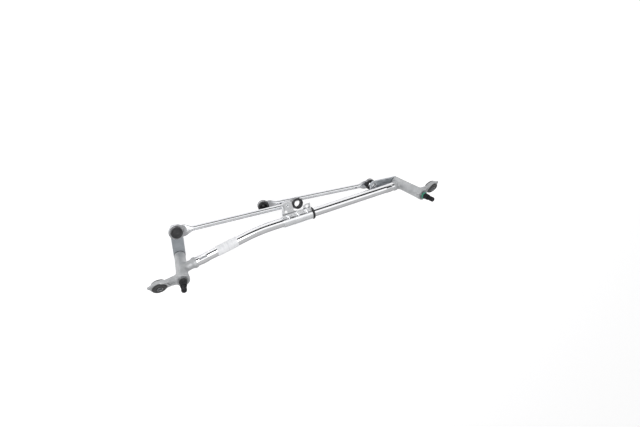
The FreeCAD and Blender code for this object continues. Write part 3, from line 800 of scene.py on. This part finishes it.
def spindle_steps(side):
    """(height, radius, kind) down the spindle; kind says which surface lies above each height."""
    s = side
    thread = s.thread + 1.5
    foot = s.lever_bottom - 2.0
    plain = [
        (foot, 0.0), (foot, 2.2), (foot + 0.7, 2.9), (foot + 0.7, 4.1), (foot, 4.8), (foot, 7.0),
        (foot + 0.3, 7.6), (foot + 0.9, 7.8), (s.lever_bottom, 7.8), (s.lever_bottom, PRESS_R),
        (s.lever_top, PRESS_R),
        (s.lever_top, SHAFT_R - 0.2), (s.lever_top + 0.2, SHAFT_R), (s.clip - 0.15, SHAFT_R),
        (s.clip, SHAFT_R - 0.15), (s.clip, CLIP_GROOVE_R), (s.seal, CLIP_GROOVE_R),
        (s.seal, SEAL_GROOVE_R), (s.knurl, SEAL_GROOVE_R), (s.knurl, 6.0),
    ]
    rows = [(height, radius, "plain") for height, radius in plain]
    for share in np.linspace(0, 1, 14):
        rows.append((between(s.knurl + 0.3, s.thread - 0.3, share), between(6.5, 6.03, share), "knurl"))
    rows += [(s.thread, 5.5, "plain"), (s.thread, 4.2, "plain"), (thread, 4.2, "plain")]
    for height in np.arange(thread + 0.4, s.tip - 1.0, 0.17):
        rows.append((height, THREAD_R, "thread"))
    rows += [(s.tip - 0.9, 4.4, "plain"), (s.tip, 3.7, "plain"), (s.tip, 1.9, "plain"),
             (s.tip - 0.9, 1.2, "plain"), (s.tip - 1.6, 0.0, "plain")]
    return rows


def make_spindle(side):
    segments = 216
    angles = full_turn(segments)
    rings = []
    teeth = np.abs(np.mod(angles / (2 * math.pi) * 36, 1.0) - 0.5) * 2
    for height, radius, kind in spindle_steps(side):
        around = np.full(segments, radius)
        if kind == "knurl":
            ends = ease((height - side.knurl) / 1.2) * ease((side.thread - height) / 1.2)
            around = radius - 0.38 * ends * teeth
        if kind == "thread":
            around = thread_radius(height, angles, side.thread + 1.5, side.tip - 0.9)
        level = np.full(segments, height)
        rings.append(np.stack([around * np.cos(angles), around * np.sin(angles), level], -1))
    faces = grid_faces(len(rings), segments, closed=False)
    piece = (side.name + "_spindle", "forged", side.body, "spindle_steel")
    make_piece(piece, np.vstack(rings), faces, side.place, sharp=28.0)


def make_clip(side):
    """Open ring with rounded ends in the spindle's groove."""
    def field(points):
        x, y, z = points.T
        radius = np.hypot(x, y)
        ring = np.abs(radius - (CLIP_GROOVE_R + CLIP_R) / 2) - (CLIP_R - CLIP_GROOVE_R) / 2
        ring = cut_from(ring, np.where(x > 0, np.abs(y) - 3.6, 9.0), 0.6)
        for turn in (-1, 1):
            nub = np.hypot(x - 5.6, y - turn * 4.9) - 1.25
            ring = np.minimum(ring, nub)
        ring = np.maximum(ring, CLIP_GROOVE_R + 0.02 - radius)
        thickness = slab(z, side.clip + 0.02, side.seal - 0.02)
        return rounded_cross(np.maximum(ring, radius - CLIP_R), thickness, 0.15)

    piece = (side.name + "_retaining_ring", "stamped", side.body, "small_steel")
    low = (-CLIP_R, -CLIP_R, side.clip)
    solid(piece, field, low, (CLIP_R, CLIP_R, side.seal), side.place, step=0.25)


def make_crank_rings(side):
    outline = plain_ring(SHAFT_R, THRUST_WASHER_R, side.lever_top, side.lever_top + WASHER)
    make_ring(side, "thrust_washer", "moulded", side.body, "band_plastic", outline, 0.2)
    low, high = side.washer, side.washer + WASHER
    outline = [
        (SHAFT_R, low), (WASHER_R, low), (WASHER_R, high), (9.0, high), (8.8, high - 0.15),
        (SHAFT_R, high - 0.15),
    ]
    make_ring(side, "upper_washer", "ground", side.body, "small_steel", outline, 0.2)
    low, high = side.seal, side.knurl
    middle = (low + high) / 2
    outline = [
        (SEAL_GROOVE_R, low), (6.6, low), (SEAL_R, low + 0.8), (SEAL_R, middle - 0.4), (7.1, middle),
        (SEAL_R, middle + 0.4), (SEAL_R, high - 0.8), (6.6, high), (SEAL_GROOVE_R, high),
    ]
    slot = "green_rubber" if side is RIGHT else "black_rubber"
    make_ring(side, "seal_ring", "rubber", side.body, slot, outline, 0.3)


# Cranks, ball pins, rods and sockets

def lever_place(side):
    angle = math.radians(side.lever_degrees)
    base = side.pivot + side.axis * (side.lever_top - LEVER_THICKNESS / 2)
    x, y, _ = side.place.axes
    return Place(base, side.axis, x * math.cos(angle) + y * math.sin(angle))


def make_lever(side, place):
    """Stamped bar: rounded punch edge above, fracture step below, and a coined ring at the pin's hole."""
    length = side.lever
    end = length + LEVER_END
    half = LEVER_HALF_WIDTH

    def field(points):
        x, y, z = points.T
        middle = (end - half) / 2
        corner = np.where(x > middle, half * 0.75, half * 0.99)
        outside = rounded_cross(np.abs(x - middle) - (end + half) / 2, np.abs(y) - half, corner)
        step = 0.16 * ease((-z - 0.6) / 0.5)
        thickness = np.abs(z) - LEVER_THICKNESS / 2
        bar = rounded_cross(outside + step, thickness, 0.55)
        coined = np.abs(np.hypot(x - length, y) - 7.4) - 0.5
        bar = cut_from(bar, np.maximum(coined, LEVER_THICKNESS / 2 - 0.25 - np.abs(z)), 0.1)
        holes = np.minimum(np.hypot(x, y) - PRESS_R, np.hypot(x - length, y) - PIN_SHANK_R)
        return cut_from(bar, holes, 0.1)

    low = (-half, -half, -LEVER_THICKNESS / 2)
    piece = (side.name + "_crank_lever", "stamped", side.body, "lever_steel")
    solid(piece, field, low, (end, half, LEVER_THICKNESS / 2), place, step=0.5)


def make_ball_pin(side, centre):
    face = -BALL_HEIGHT + LEVER_THICKNESS / 2
    back = -BALL_HEIGHT - LEVER_THICKNESS / 2
    stem = [
        (0, back - 1.2), (1.6, back - 1.2), (2.2, back - 1.8), (4.8, back - 1.8), (6.0, back - 0.9),
        (6.0, back), (PIN_SHANK_R, back), (PIN_SHANK_R, face), (6.2, face), (6.2, face + 1.2),
        (PIN_NECK_R, face + 2.2),
    ]
    lowest = math.asin(PIN_NECK_R / BALL_R)
    flat = 0.28
    turns = np.linspace(lowest, math.pi - flat, 30)
    ball = [(BALL_R * math.sin(turn), -BALL_R * math.cos(turn)) for turn in turns]
    outline = stem + ball + [(0, BALL_R * math.cos(flat))]
    piece = (side.name + "_ball_pin", "turned", side.body, "ball_steel")
    lathe(piece, outline, Place(centre, side.axis * side.facing), closed=False, soft=0.15)


def rod_end_distance(x, y, z, eye_r):
    """One flattened end: the eye at x = 0 and the neck that opens out to the round tube."""
    plate = np.abs(z) - ROD_EYE_HALF
    eye = rounded_cross(np.hypot(x, y) - eye_r, plate, 0.7)
    flat_end = SOCKET_R + 0.8
    opening = ease((x - flat_end) / (eye_r + NECK_LENGTH - flat_end))
    wide = between(eye_r * 0.8, ROD_R, opening)
    high = between(ROD_EYE_HALF * 0.97, ROD_R, opening ** 1.15)
    power = between(7.0, 2.0, np.sqrt(opening))
    scaled = (np.abs(y / wide) ** power + np.abs(z / high) ** power) ** (1 / power)
    neck = np.maximum((scaled - 1) * np.minimum(wide, high), eye_r * 0.45 - x)
    end = merged(eye, neck, 1.2)
    return np.where(x < flat_end, np.maximum(end, plate), end)


def make_rod(side, place):
    length = np.linalg.norm(side.rod_end - place.base)
    crank_eye_r, motor_eye_r = side.eye_r, EYE_RIM_R

    def field(points):
        x, y, z = points.T
        near = rod_end_distance(x, y, z, crank_eye_r)
        far = rod_end_distance(length - x, y, z, motor_eye_r)
        rod = np.where(x < length / 2, near, far)
        for vent in (crank_eye_r + NECK_LENGTH + 8, length - motor_eye_r - NECK_LENGTH - 8):
            rod = cut_from(rod, np.maximum(np.hypot(x - vent, y) - 1.5, z + 2.4), 0.2)
        for eye in (0, length):
            rod = cut_from(rod, np.hypot(x - eye, y) - SOCKET_GROOVE_R, 0.3)
        return rod

    # The zinc finish paints shade with this mark, so the flattened ends come out darker.
    def pressed(points):
        """Nearly 1 on the flattened ends and 0 on the round tube."""
        from_end = np.minimum(points[:, 0] + 2, length - points[:, 0])
        return 1 - ease((from_end - SOCKET_R) / (NECK_LENGTH + 4))

    widest = max(crank_eye_r, motor_eye_r)
    low = (-crank_eye_r, -widest, -ROD_R)
    high = (length + motor_eye_r, widest, ROD_R)
    piece = (side.name + "_link_rod", "tubular", side.rod_body, "zinc_rod")
    solid(piece, field, low, high, place, step=0.6, pressed=pressed)


def socket_waist(top):
    """A socket's outline up to the top of the groove that the rod's eye fills, and then top."""
    return [
        (0, -SOCKET_HALF), (SOCKET_R, -SOCKET_HALF), (SOCKET_R, -ROD_EYE_HALF),
        (SOCKET_GROOVE_R, -ROD_EYE_HALF), (SOCKET_GROOVE_R, ROD_EYE_HALF),
    ] + top


def cavity_distance(points):
    """Ball seat, with the lip and the flared mouth below it."""
    flare = revolved(points, [
        (0, 0), (LIP_R, 0), (LIP_R, -4.0), (MOUTH_R, -SOCKET_HALF), (MOUTH_R, -9.0), (0, -9.0),
    ])
    return np.minimum(ball_distance(points, (0, 0, 0), SEAT_R), flare)


def skirt_slits(points, facing):
    """Four slits that let the socket's mouth spring over the ball."""
    x, y, z = points.T
    narrow = np.minimum(np.abs(x), np.abs(y)) - 0.55
    inner = np.hypot(x, y) - SOCKET_R + 1.6
    return np.maximum(np.maximum(narrow, inner), z * facing + 3.4)


def with_mouths(points, body, *facings):
    """The body with a ball seat and a slit mouth below it, above it (-1), or both."""
    for facing in facings:
        body = cut_from(body, cavity_distance(points * np.array([1, 1, facing])), 0.3)
    for facing in facings:
        body = cut_from(body, skirt_slits(points, facing), 0.2)
    return body


def capped_field(points):
    body = revolved(points, socket_waist([
        (11.0, ROD_EYE_HALF), (11.0, 8.3), (9.8, 9.5), (8.8, 9.5), (8.4, 8.9), (6.4, 8.9), (6.0, 9.7),
        (0, 9.7),
    ]))
    body = cut_from(body, ball_distance(points, (0, 0, 11.6), 2.4), 0.2)
    return with_mouths(points, body, 1)


def domed_field(points):
    brim = revolved(points, socket_waist([(SOCKET_R, 2), (SOCKET_R, 3.4), (11.0, 4.4), (0, 4.4)]))
    dome = np.maximum(ball_distance(points, (0, 0, 0), 10.6), 2.0 - points[:, 2])
    body = rounded_cross(merged(brim, dome, 0.8), points[:, 2] - 10.2, 0.6)
    body = cut_from(body, ball_distance(points, (0, 0, 11.6), 1.9), 0.2)
    return with_mouths(points, body, 1)


def open_field(points):
    top = [(SOCKET_R, ROD_EYE_HALF), (SOCKET_R, SOCKET_HALF), (0, SOCKET_HALF)]
    return with_mouths(points, revolved(points, socket_waist(top)), 1, -1)


def make_socket(side, end, place, field):
    """A socket at the rod's crank end or motor end, with its outer moulded edges rounded."""
    def eased(points):
        return rounded_cross(field(points), from_axis(points, SOCKET_R), 0.5)

    low = (-SOCKET_R, -SOCKET_R, -SOCKET_HALF)
    high = (SOCKET_R, SOCKET_R, SOCKET_TOP)
    piece = (f"{side.name}_{end}_socket", "moulded", side.rod_body, "socket_plastic")
    solid(piece, eased, low, high, place, step=0.45)


def rod_place(side, centre):
    """Where a rod is: its X runs to the motor end and its Z is the sockets' closed side."""
    along = unit(side.rod_end - centre)
    upright = unit(Z_AXIS - along * along[2])
    sideways = np.cross(along, upright)
    angle = math.radians(-side.roll * side.facing)
    up = (upright * math.cos(angle) + sideways * math.sin(angle)) * side.facing
    return Place(centre, up, along)


def make_crank_and_rod(side, crank_field, motor_field):
    lever = lever_place(side)
    make_lever(side, lever)
    centre = lever.base + lever.axes[0] * side.lever + side.axis * (BALL_HEIGHT * side.facing)
    make_ball_pin(side, centre)
    place = rod_place(side, centre)
    make_rod(side, place)
    make_socket(side, "crank", place, crank_field)
    make_socket(side, "motor", Place(side.rod_end, place.axes[2], place.axes[0]), motor_field)


# Materials. Every point's own local place is in metres: a noise scale of 1000 has features about a
# millimetre wide.

class Nodes:
    """Short calls for the nodes that the finishes and the studio share."""

    def __init__(self, tree):
        self.tree = tree

    def feed(self, socket, value):
        if isinstance(value, bpy.types.NodeSocket):
            self.tree.links.new(value, socket)
        else:
            socket.default_value = value

    def node(self, kind, **inputs):
        made = self.tree.nodes.new("ShaderNode" + kind)
        for key, value in inputs.items():
            self.feed(made.inputs[key.replace("_", " ")], value)
        return made

    def ramp(self, value, *stops):
        """Colour or grey level for stops of (position, level or colour)."""
        made = self.node("ValToRGB", Fac=value)
        elements = made.color_ramp.elements
        while len(elements) < len(stops):
            elements.new(0.5)
        for element, (position, colour) in zip(elements, stops):
            element.position = position
            rgb = colour if isinstance(colour, tuple) else (colour,) * 3
            element.color = (*rgb, 1.0)
        return made.outputs["Color"]

    def mix(self, share, first, second, mode="MIX"):
        made = self.node("Mix")
        made.data_type = "RGBA"
        made.blend_type = mode
        self.feed(made.inputs[0], share)
        for socket, value in ((made.inputs[6], first), (made.inputs[7], second)):
            self.feed(socket, (*value, 1.0) if isinstance(value, tuple) else value)
        return made.outputs[2]


class Finish(Nodes):
    """A surface material; its patterns follow the points' own local places."""

    def __init__(self, name, **constants):
        self.name = name
        self.material = bpy.data.materials.new(name)
        self.material.use_nodes = True
        super().__init__(self.material.node_tree)
        self.shader = self.tree.nodes["Principled BSDF"]
        for key, value in constants.items():
            self.shader.inputs[key.replace("_", " ")].default_value = value
        self.place = self.carried("own_place").outputs["Vector"]

    def carried(self, name):
        """A value that the mesh carries at its points."""
        made = self.node("Attribute")
        made.attribute_name = name
        return made

    def stretched(self, x, y, z):
        return self.node("Mapping", Vector=self.place, Scale=(x, y, z)).outputs["Vector"]

    def noise(self, scale, detail=3.0, vector=None, rough=0.55):
        vector = vector or self.place
        made = self.node("TexNoise", Vector=vector, Scale=scale, Detail=detail, Roughness=rough)
        return made.outputs["Fac"]

    def cloudy(self, scale, detail, low, high):
        """Soft patches between two colours or two grey levels."""
        return self.ramp(self.noise(scale, detail), (0.3, low), (0.7, high))

    def cells(self, scale):
        return self.node("TexVoronoi", Vector=self.place, Scale=scale).outputs["Distance"]

    def pointed(self, *stops):
        """A ramp over how sharply the surface bends: below one half in hollows, above it on edges."""
        return self.ramp(self.node("NewGeometry").outputs["Pointiness"], *stops)

    def mark(self, name, *stops):
        return self.ramp(self.carried(name).outputs["Fac"], *stops)

    def bump(self, height, strength, distance, below=None):
        """Relief whose depth is distance in metres."""
        made = self.node("Bump", Height=height, Strength=strength, Distance=distance)
        if below:
            self.feed(made.inputs["Normal"], below)
        return made.outputs["Normal"]

    def dimmed(self, colour, pattern, *stops):
        """The colour, darkened by a grey ramp over the pattern."""
        return self.mix(1.0, colour, self.ramp(pattern, *stops), "MULTIPLY")

    def grain(self, scale, detail, strength, distance, below=None):
        """Relief from a plain noise."""
        return self.bump(self.noise(scale, detail), strength, distance, below)

    def done(self, colour, roughness, normal):
        """The finish's name and its material, once its last three inputs are fed."""
        self.feed(self.shader.inputs["Base Color"], colour)
        self.feed(self.shader.inputs["Roughness"], roughness)
        self.feed(self.shader.inputs["Normal"], normal)
        return self.name, self.material


def casting_finish():
    """Tumbled die casting: sandy skin, painted shade in its hollows and rubbed edges."""
    f = Finish("casting", Metallic=0.55)
    cloud = f.cloudy(55, 5, (0.43, 0.44, 0.45), (0.56, 0.57, 0.58))
    colour = f.dimmed(cloud, f.noise(1400, 2), (0.35, 0.86), (0.65, 1.0))
    # Painted shade: the deeper a point sits in a hollow, the darker its colour.
    colour = f.mix(f.mark("hollow", (0.15, 0.0), (0.9, 0.85)), colour, (0.17, 0.175, 0.185))
    colour = f.mix(f.mark("edge", (0.15, 0.0), (0.6, 0.7)), colour, (0.74, 0.75, 0.76))
    roughness = f.cloudy(160, 4, 0.5, 0.66)
    normal = f.grain(900, 4, 0.5, 0.00022)
    normal = f.grain(140, 3, 0.35, 0.0005, normal)
    return f.done(colour, roughness, normal)


def zinc_finish(name, base, seed_shift):
    """Bright zinc plate on drawn tube: streaks along its length, faint clouds and fine scratches, with
    painted shade where the wall is pressed in and in hollows.
    """
    f = Finish(name, Metallic=1.0)
    long_way = f.stretched(0.05, 1, 1)
    streak = f.noise(900 + seed_shift, 4, long_way)
    cloud = f.noise(38 + seed_shift * 0.1, 5)
    low = tuple(0.9 * c for c in base)
    colour = f.dimmed(f.ramp(cloud, (0.3, low), (0.7, base)), streak, (0.35, 0.93), (0.6, 1.0))
    # Painted shade: darker where the wall is pressed in (the tube's crimps and the rods' flattened ends),
    # darkest in hollows and inside the tube.
    colour = f.mix(f.mark("pressed", (0.1, 0.0), (0.9, 0.75)), colour, (0.36, 0.365, 0.38))
    colour = f.mix(f.mark("hollow", (0.3, 0.0), (0.95, 0.9)), colour, (0.10, 0.105, 0.115))
    patches = f.mix(0.5, f.ramp(cloud, (0.35, 0.1), (0.7, 0.17)), f.ramp(streak, (0.3, 0.09), (0.7, 0.2)))
    scratches = f.noise(420, 6, f.stretched(0.015, 1, 1), 0.75)
    normal = f.bump(scratches, 0.12, 0.00004)
    normal = f.bump(f.noise(70, 2, f.stretched(0.25, 1, 1)), 0.2, 0.00012, normal)
    return f.done(colour, patches, normal)


def lever_finish():
    """Blued cold-rolled steel with brighter sheared edges."""
    f = Finish("lever_steel", Metallic=0.75)
    roll = f.noise(700, 5, f.stretched(1, 0.08, 1))
    colour = f.cloudy(70, 4, (0.40, 0.43, 0.46), (0.5, 0.53, 0.56))
    colour = f.dimmed(colour, roll, (0.35, 0.88), (0.65, 1.0))
    colour = f.mix(f.mark("edge", (0.1, 0.0), (0.45, 1.0)), colour, (0.8, 0.81, 0.83))
    roughness = f.ramp(roll, (0.3, 0.34), (0.7, 0.5))
    normal = f.bump(roll, 0.25, 0.00006)
    return f.done(colour, roughness, f.grain(260, 3, 0.25, 0.00012, normal))


def bracket_finish():
    """Zinc-plated pressing with a satin skin, painted shade in its hollows and bends, and lighter edges."""
    f = Finish("bracket_steel", Metallic=0.95)
    cloud = f.noise(60, 5)
    colour = f.ramp(cloud, (0.3, (0.76, 0.77, 0.79)), (0.7, (0.88, 0.89, 0.91)))
    # Painted shade: the hollows, such as the junction of the strip and the wrap, go nearly black.
    colour = f.mix(f.mark("hollow", (0.12, 0.0), (0.75, 0.95)), colour, (0.07, 0.072, 0.08))
    colour = f.mix(f.mark("edge", (0.1, 0.0), (0.5, 1.0)), colour, (0.86, 0.87, 0.88))
    roughness = f.ramp(f.noise(220, 4, f.stretched(0.3, 1, 1)), (0.3, 0.2), (0.7, 0.36))
    normal = f.bump(f.noise(500, 3, f.stretched(0.2, 1, 1)), 0.2, 0.00006)
    return f.done(colour, roughness, f.grain(90, 2, 0.2, 0.0002, normal))


def turned_finish(name, dark, light, low_rough, high_rough, metallic=1.0):
    """Turned steel: fine rings round the axis under a blotchy surface."""
    f = Finish(name, Metallic=metallic)
    rings = f.noise(2600, 3, f.stretched(0.03, 0.03, 1))
    blotch = f.cloudy(180, 5, dark, light)
    colour = f.dimmed(blotch, rings, (0.3, 0.85), (0.7, 1.0))
    worn = tuple(min(1.0, 1.5 * c + 0.04) for c in light)
    colour = f.mix(f.pointed((0.53, 0.0), (0.66, 1.0)), colour, worn)
    roughness = f.cloudy(320, 4, low_rough, high_rough)
    return f.done(colour, roughness, f.bump(rings, 0.25, 0.00003))


def moulded_finish(name, dark, light, low_rough, high_rough, grain=1500):
    """Moulded plastic with a fine spark-eroded texture and lightly rubbed edges."""
    f = Finish(name, IOR=1.48)
    colour = f.cloudy(110, 5, dark, light)
    worn = tuple(min(1.0, c * 2.2 + 0.015) for c in light)
    colour = f.mix(f.pointed((0.54, 0.0), (0.68, 1.0)), colour, worn)
    roughness = f.cloudy(420, 4, low_rough, high_rough)
    normal = f.bump(f.cells(grain), 0.2, 0.00006)
    return f.done(colour, roughness, f.grain(90, 2, 0.15, 0.0002, normal))


def rubber_finish(name, dark, light, dust):
    """Moulded rubber: soft sheen, grey bloom in the hollows and a pebbled skin."""
    f = Finish(name, Sheen_Weight=0.18, Sheen_Roughness=0.45)
    bloom = f.ramp(f.noise(130, 6), (0.42, 0.0), (0.75, 1.0))
    colour = f.mix(bloom, f.cloudy(700, 3, dark, light), dust)
    colour = f.mix(f.pointed((0.38, 1.0), (0.48, 0.0)), colour, dust)
    roughness = f.cloudy(300, 4, 0.52, 0.78)
    normal = f.grain(1300, 3, 0.3, 0.0001)
    return f.done(colour, roughness, normal)


def bronze_finish():
    """Porous sintered bronze, darkened by oil."""
    f = Finish("bush_bronze", Metallic=1.0)
    pores = f.ramp(f.cells(2600), (0.12, 0.35), (0.3, 1.0))
    colour = f.cloudy(240, 4, (0.34, 0.22, 0.11), (0.52, 0.36, 0.19))
    colour = f.mix(1.0, colour, pores, "MULTIPLY")
    roughness = f.cloudy(500, 3, 0.36, 0.55)
    return f.done(colour, roughness, f.bump(pores, 0.4, 0.00008))


def label_finish():
    """White film with a few faint generic bars that say nothing, and handling smudges."""
    f = Finish("label_film")
    bars = f.noise(520, 1, f.stretched(1, 0.14, 0.14))
    patch = f.ramp(f.noise(60, 2), (0.47, 0.0), (0.55, 1.0))
    marks = f.mix(1.0, f.ramp(bars, (0.52, 0.0), (0.58, 0.4)), patch, "MULTIPLY")
    paper = f.cloudy(90, 5, (0.74, 0.75, 0.77), (0.86, 0.865, 0.88))
    colour = f.mix(marks, paper, (0.6, 0.61, 0.64))
    roughness = f.cloudy(240, 4, 0.3, 0.5)
    return f.done(colour, roughness, f.grain(160, 3, 0.2, 0.00012))


FINISHES = dict([
    casting_finish(),
    zinc_finish("zinc_tube", (0.84, 0.845, 0.86), 0),
    zinc_finish("zinc_rod", (0.8, 0.81, 0.83), 60),
    lever_finish(),
    bracket_finish(),
    turned_finish("spindle_steel", (0.012, 0.012, 0.014), (0.03, 0.03, 0.034), 0.42, 0.6, 0.6),
    turned_finish("ball_steel", (0.42, 0.43, 0.45), (0.6, 0.61, 0.62), 0.12, 0.24),
    turned_finish("small_steel", (0.36, 0.37, 0.385), (0.52, 0.53, 0.54), 0.3, 0.46),
    moulded_finish("socket_plastic", (0.014, 0.014, 0.016), (0.034, 0.034, 0.037), 0.3, 0.46),
    rubber_finish("grommet_rubber", (0.010, 0.010, 0.011), (0.02, 0.02, 0.021), (0.05, 0.05, 0.05)),
    rubber_finish("green_rubber", (0.02, 0.2, 0.12), (0.03, 0.3, 0.19), (0.1, 0.36, 0.27)),
    rubber_finish("black_rubber", (0.012, 0.012, 0.013), (0.02, 0.02, 0.022), (0.045, 0.045, 0.045)),
    bronze_finish(),
    label_finish(),
    moulded_finish("band_plastic", (0.010, 0.010, 0.011), (0.02, 0.02, 0.022), 0.4, 0.58, 1100),
])


# Floor, light and camera

def make_floor():
    lowest = CAD_BOX[0][2] - FLOOR_DROP
    half = FLOOR_HALF
    mesh = bpy.data.meshes.new("floor")
    corners = [(-half, -half, lowest), (half, -half, lowest), (half, half, lowest), (-half, half, lowest)]
    mesh.from_pydata(corners, [], [(0, 1, 2, 3)])
    paper = Finish("floor_paper", Base_Color=(0.8, 0.8, 0.805, 1.0), Roughness=0.9,
                   Emission_Color=(1.0, 1.0, 1.0, 1.0), Emission_Strength=0.42)
    mesh.materials.append(paper.material)
    linked("floor", mesh)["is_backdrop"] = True


def make_world():
    """Bright zenith, grey walls and a dark band low on the +Y side; the camera itself sees plain white."""
    world = bpy.data.worlds.new("studio")
    bpy.context.scene.world = world
    world.use_nodes = True
    world.node_tree.nodes.clear()
    nodes = Nodes(world.node_tree)
    direction = nodes.node("TexCoord").outputs["Generated"]
    part = nodes.node("SeparateXYZ", Vector=direction).outputs
    dark = nodes.ramp(part["Z"], *DARK_SIDE)
    plain = nodes.ramp(part["Z"], *PLAIN_SIDE)
    half_y = nodes.node("MapRange", Value=part["Y"], From_Min=-1.0).outputs["Result"]
    studio = nodes.mix(nodes.ramp(half_y, (0.5, 0.0), (0.6, 1.0)), plain, dark)
    by_camera = nodes.node("LightPath").outputs["Is Camera Ray"]
    light = nodes.node("Background", Color=nodes.mix(by_camera, studio, (1.0, 1.0, 1.0)))
    nodes.node("OutputWorld", Surface=light.outputs["Background"])


def make_light():
    middle = (Vector(CAD_BOX[0]) + Vector(CAD_BOX[1])) / 2
    data = bpy.data.lights.new("key_softbox", "AREA")
    data.shape = "RECTANGLE"
    data.size = 1.6
    data.size_y = 1.2
    data.energy = LIGHT_WATTS
    light = linked("key_softbox", data)
    light.location = middle + Vector(LIGHT_OFFSET)
    light.rotation_euler = Vector(LIGHT_OFFSET).to_track_quat("Z", "Y").to_euler()


def make_camera():
    data = bpy.data.cameras.new("camera")
    data.sensor_width = 36.0
    data.lens = CAMERA_LENS
    data.clip_start = 0.01
    data.clip_end = 100.0
    camera = linked("camera", data)
    back = Vector(CAMERA_BACK).normalized()
    right = Vector(CAMERA_UP).cross(back).normalized()
    turn = Matrix((right, back.cross(right), back)).transposed().to_4x4()
    camera.matrix_world = Matrix.Translation(CAMERA_PLACE) @ turn
    bpy.context.scene.camera = camera


def write_sizes():
    boxes = {"cad": CAD_BOX, "visual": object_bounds()}
    plain = {name: [[float(value) for value in corner] for corner in box] for name, box in boxes.items()}


def main():
    make_tube()
    make_label()
    make_band()
    make_bracket()
    for side in (LEFT, RIGHT):
        make_housing(side)
        make_frame_rings(side)
        make_spindle(side)
        make_clip(side)
        make_crank_rings(side)
    make_crank_and_rod(LEFT, capped_field, open_field)
    make_crank_and_rod(RIGHT, domed_field, domed_field)
    make_floor()
    make_world()
    make_light()
    make_camera()
    bpy.context.scene.view_settings.view_transform = "Standard"
    write_sizes()


main()
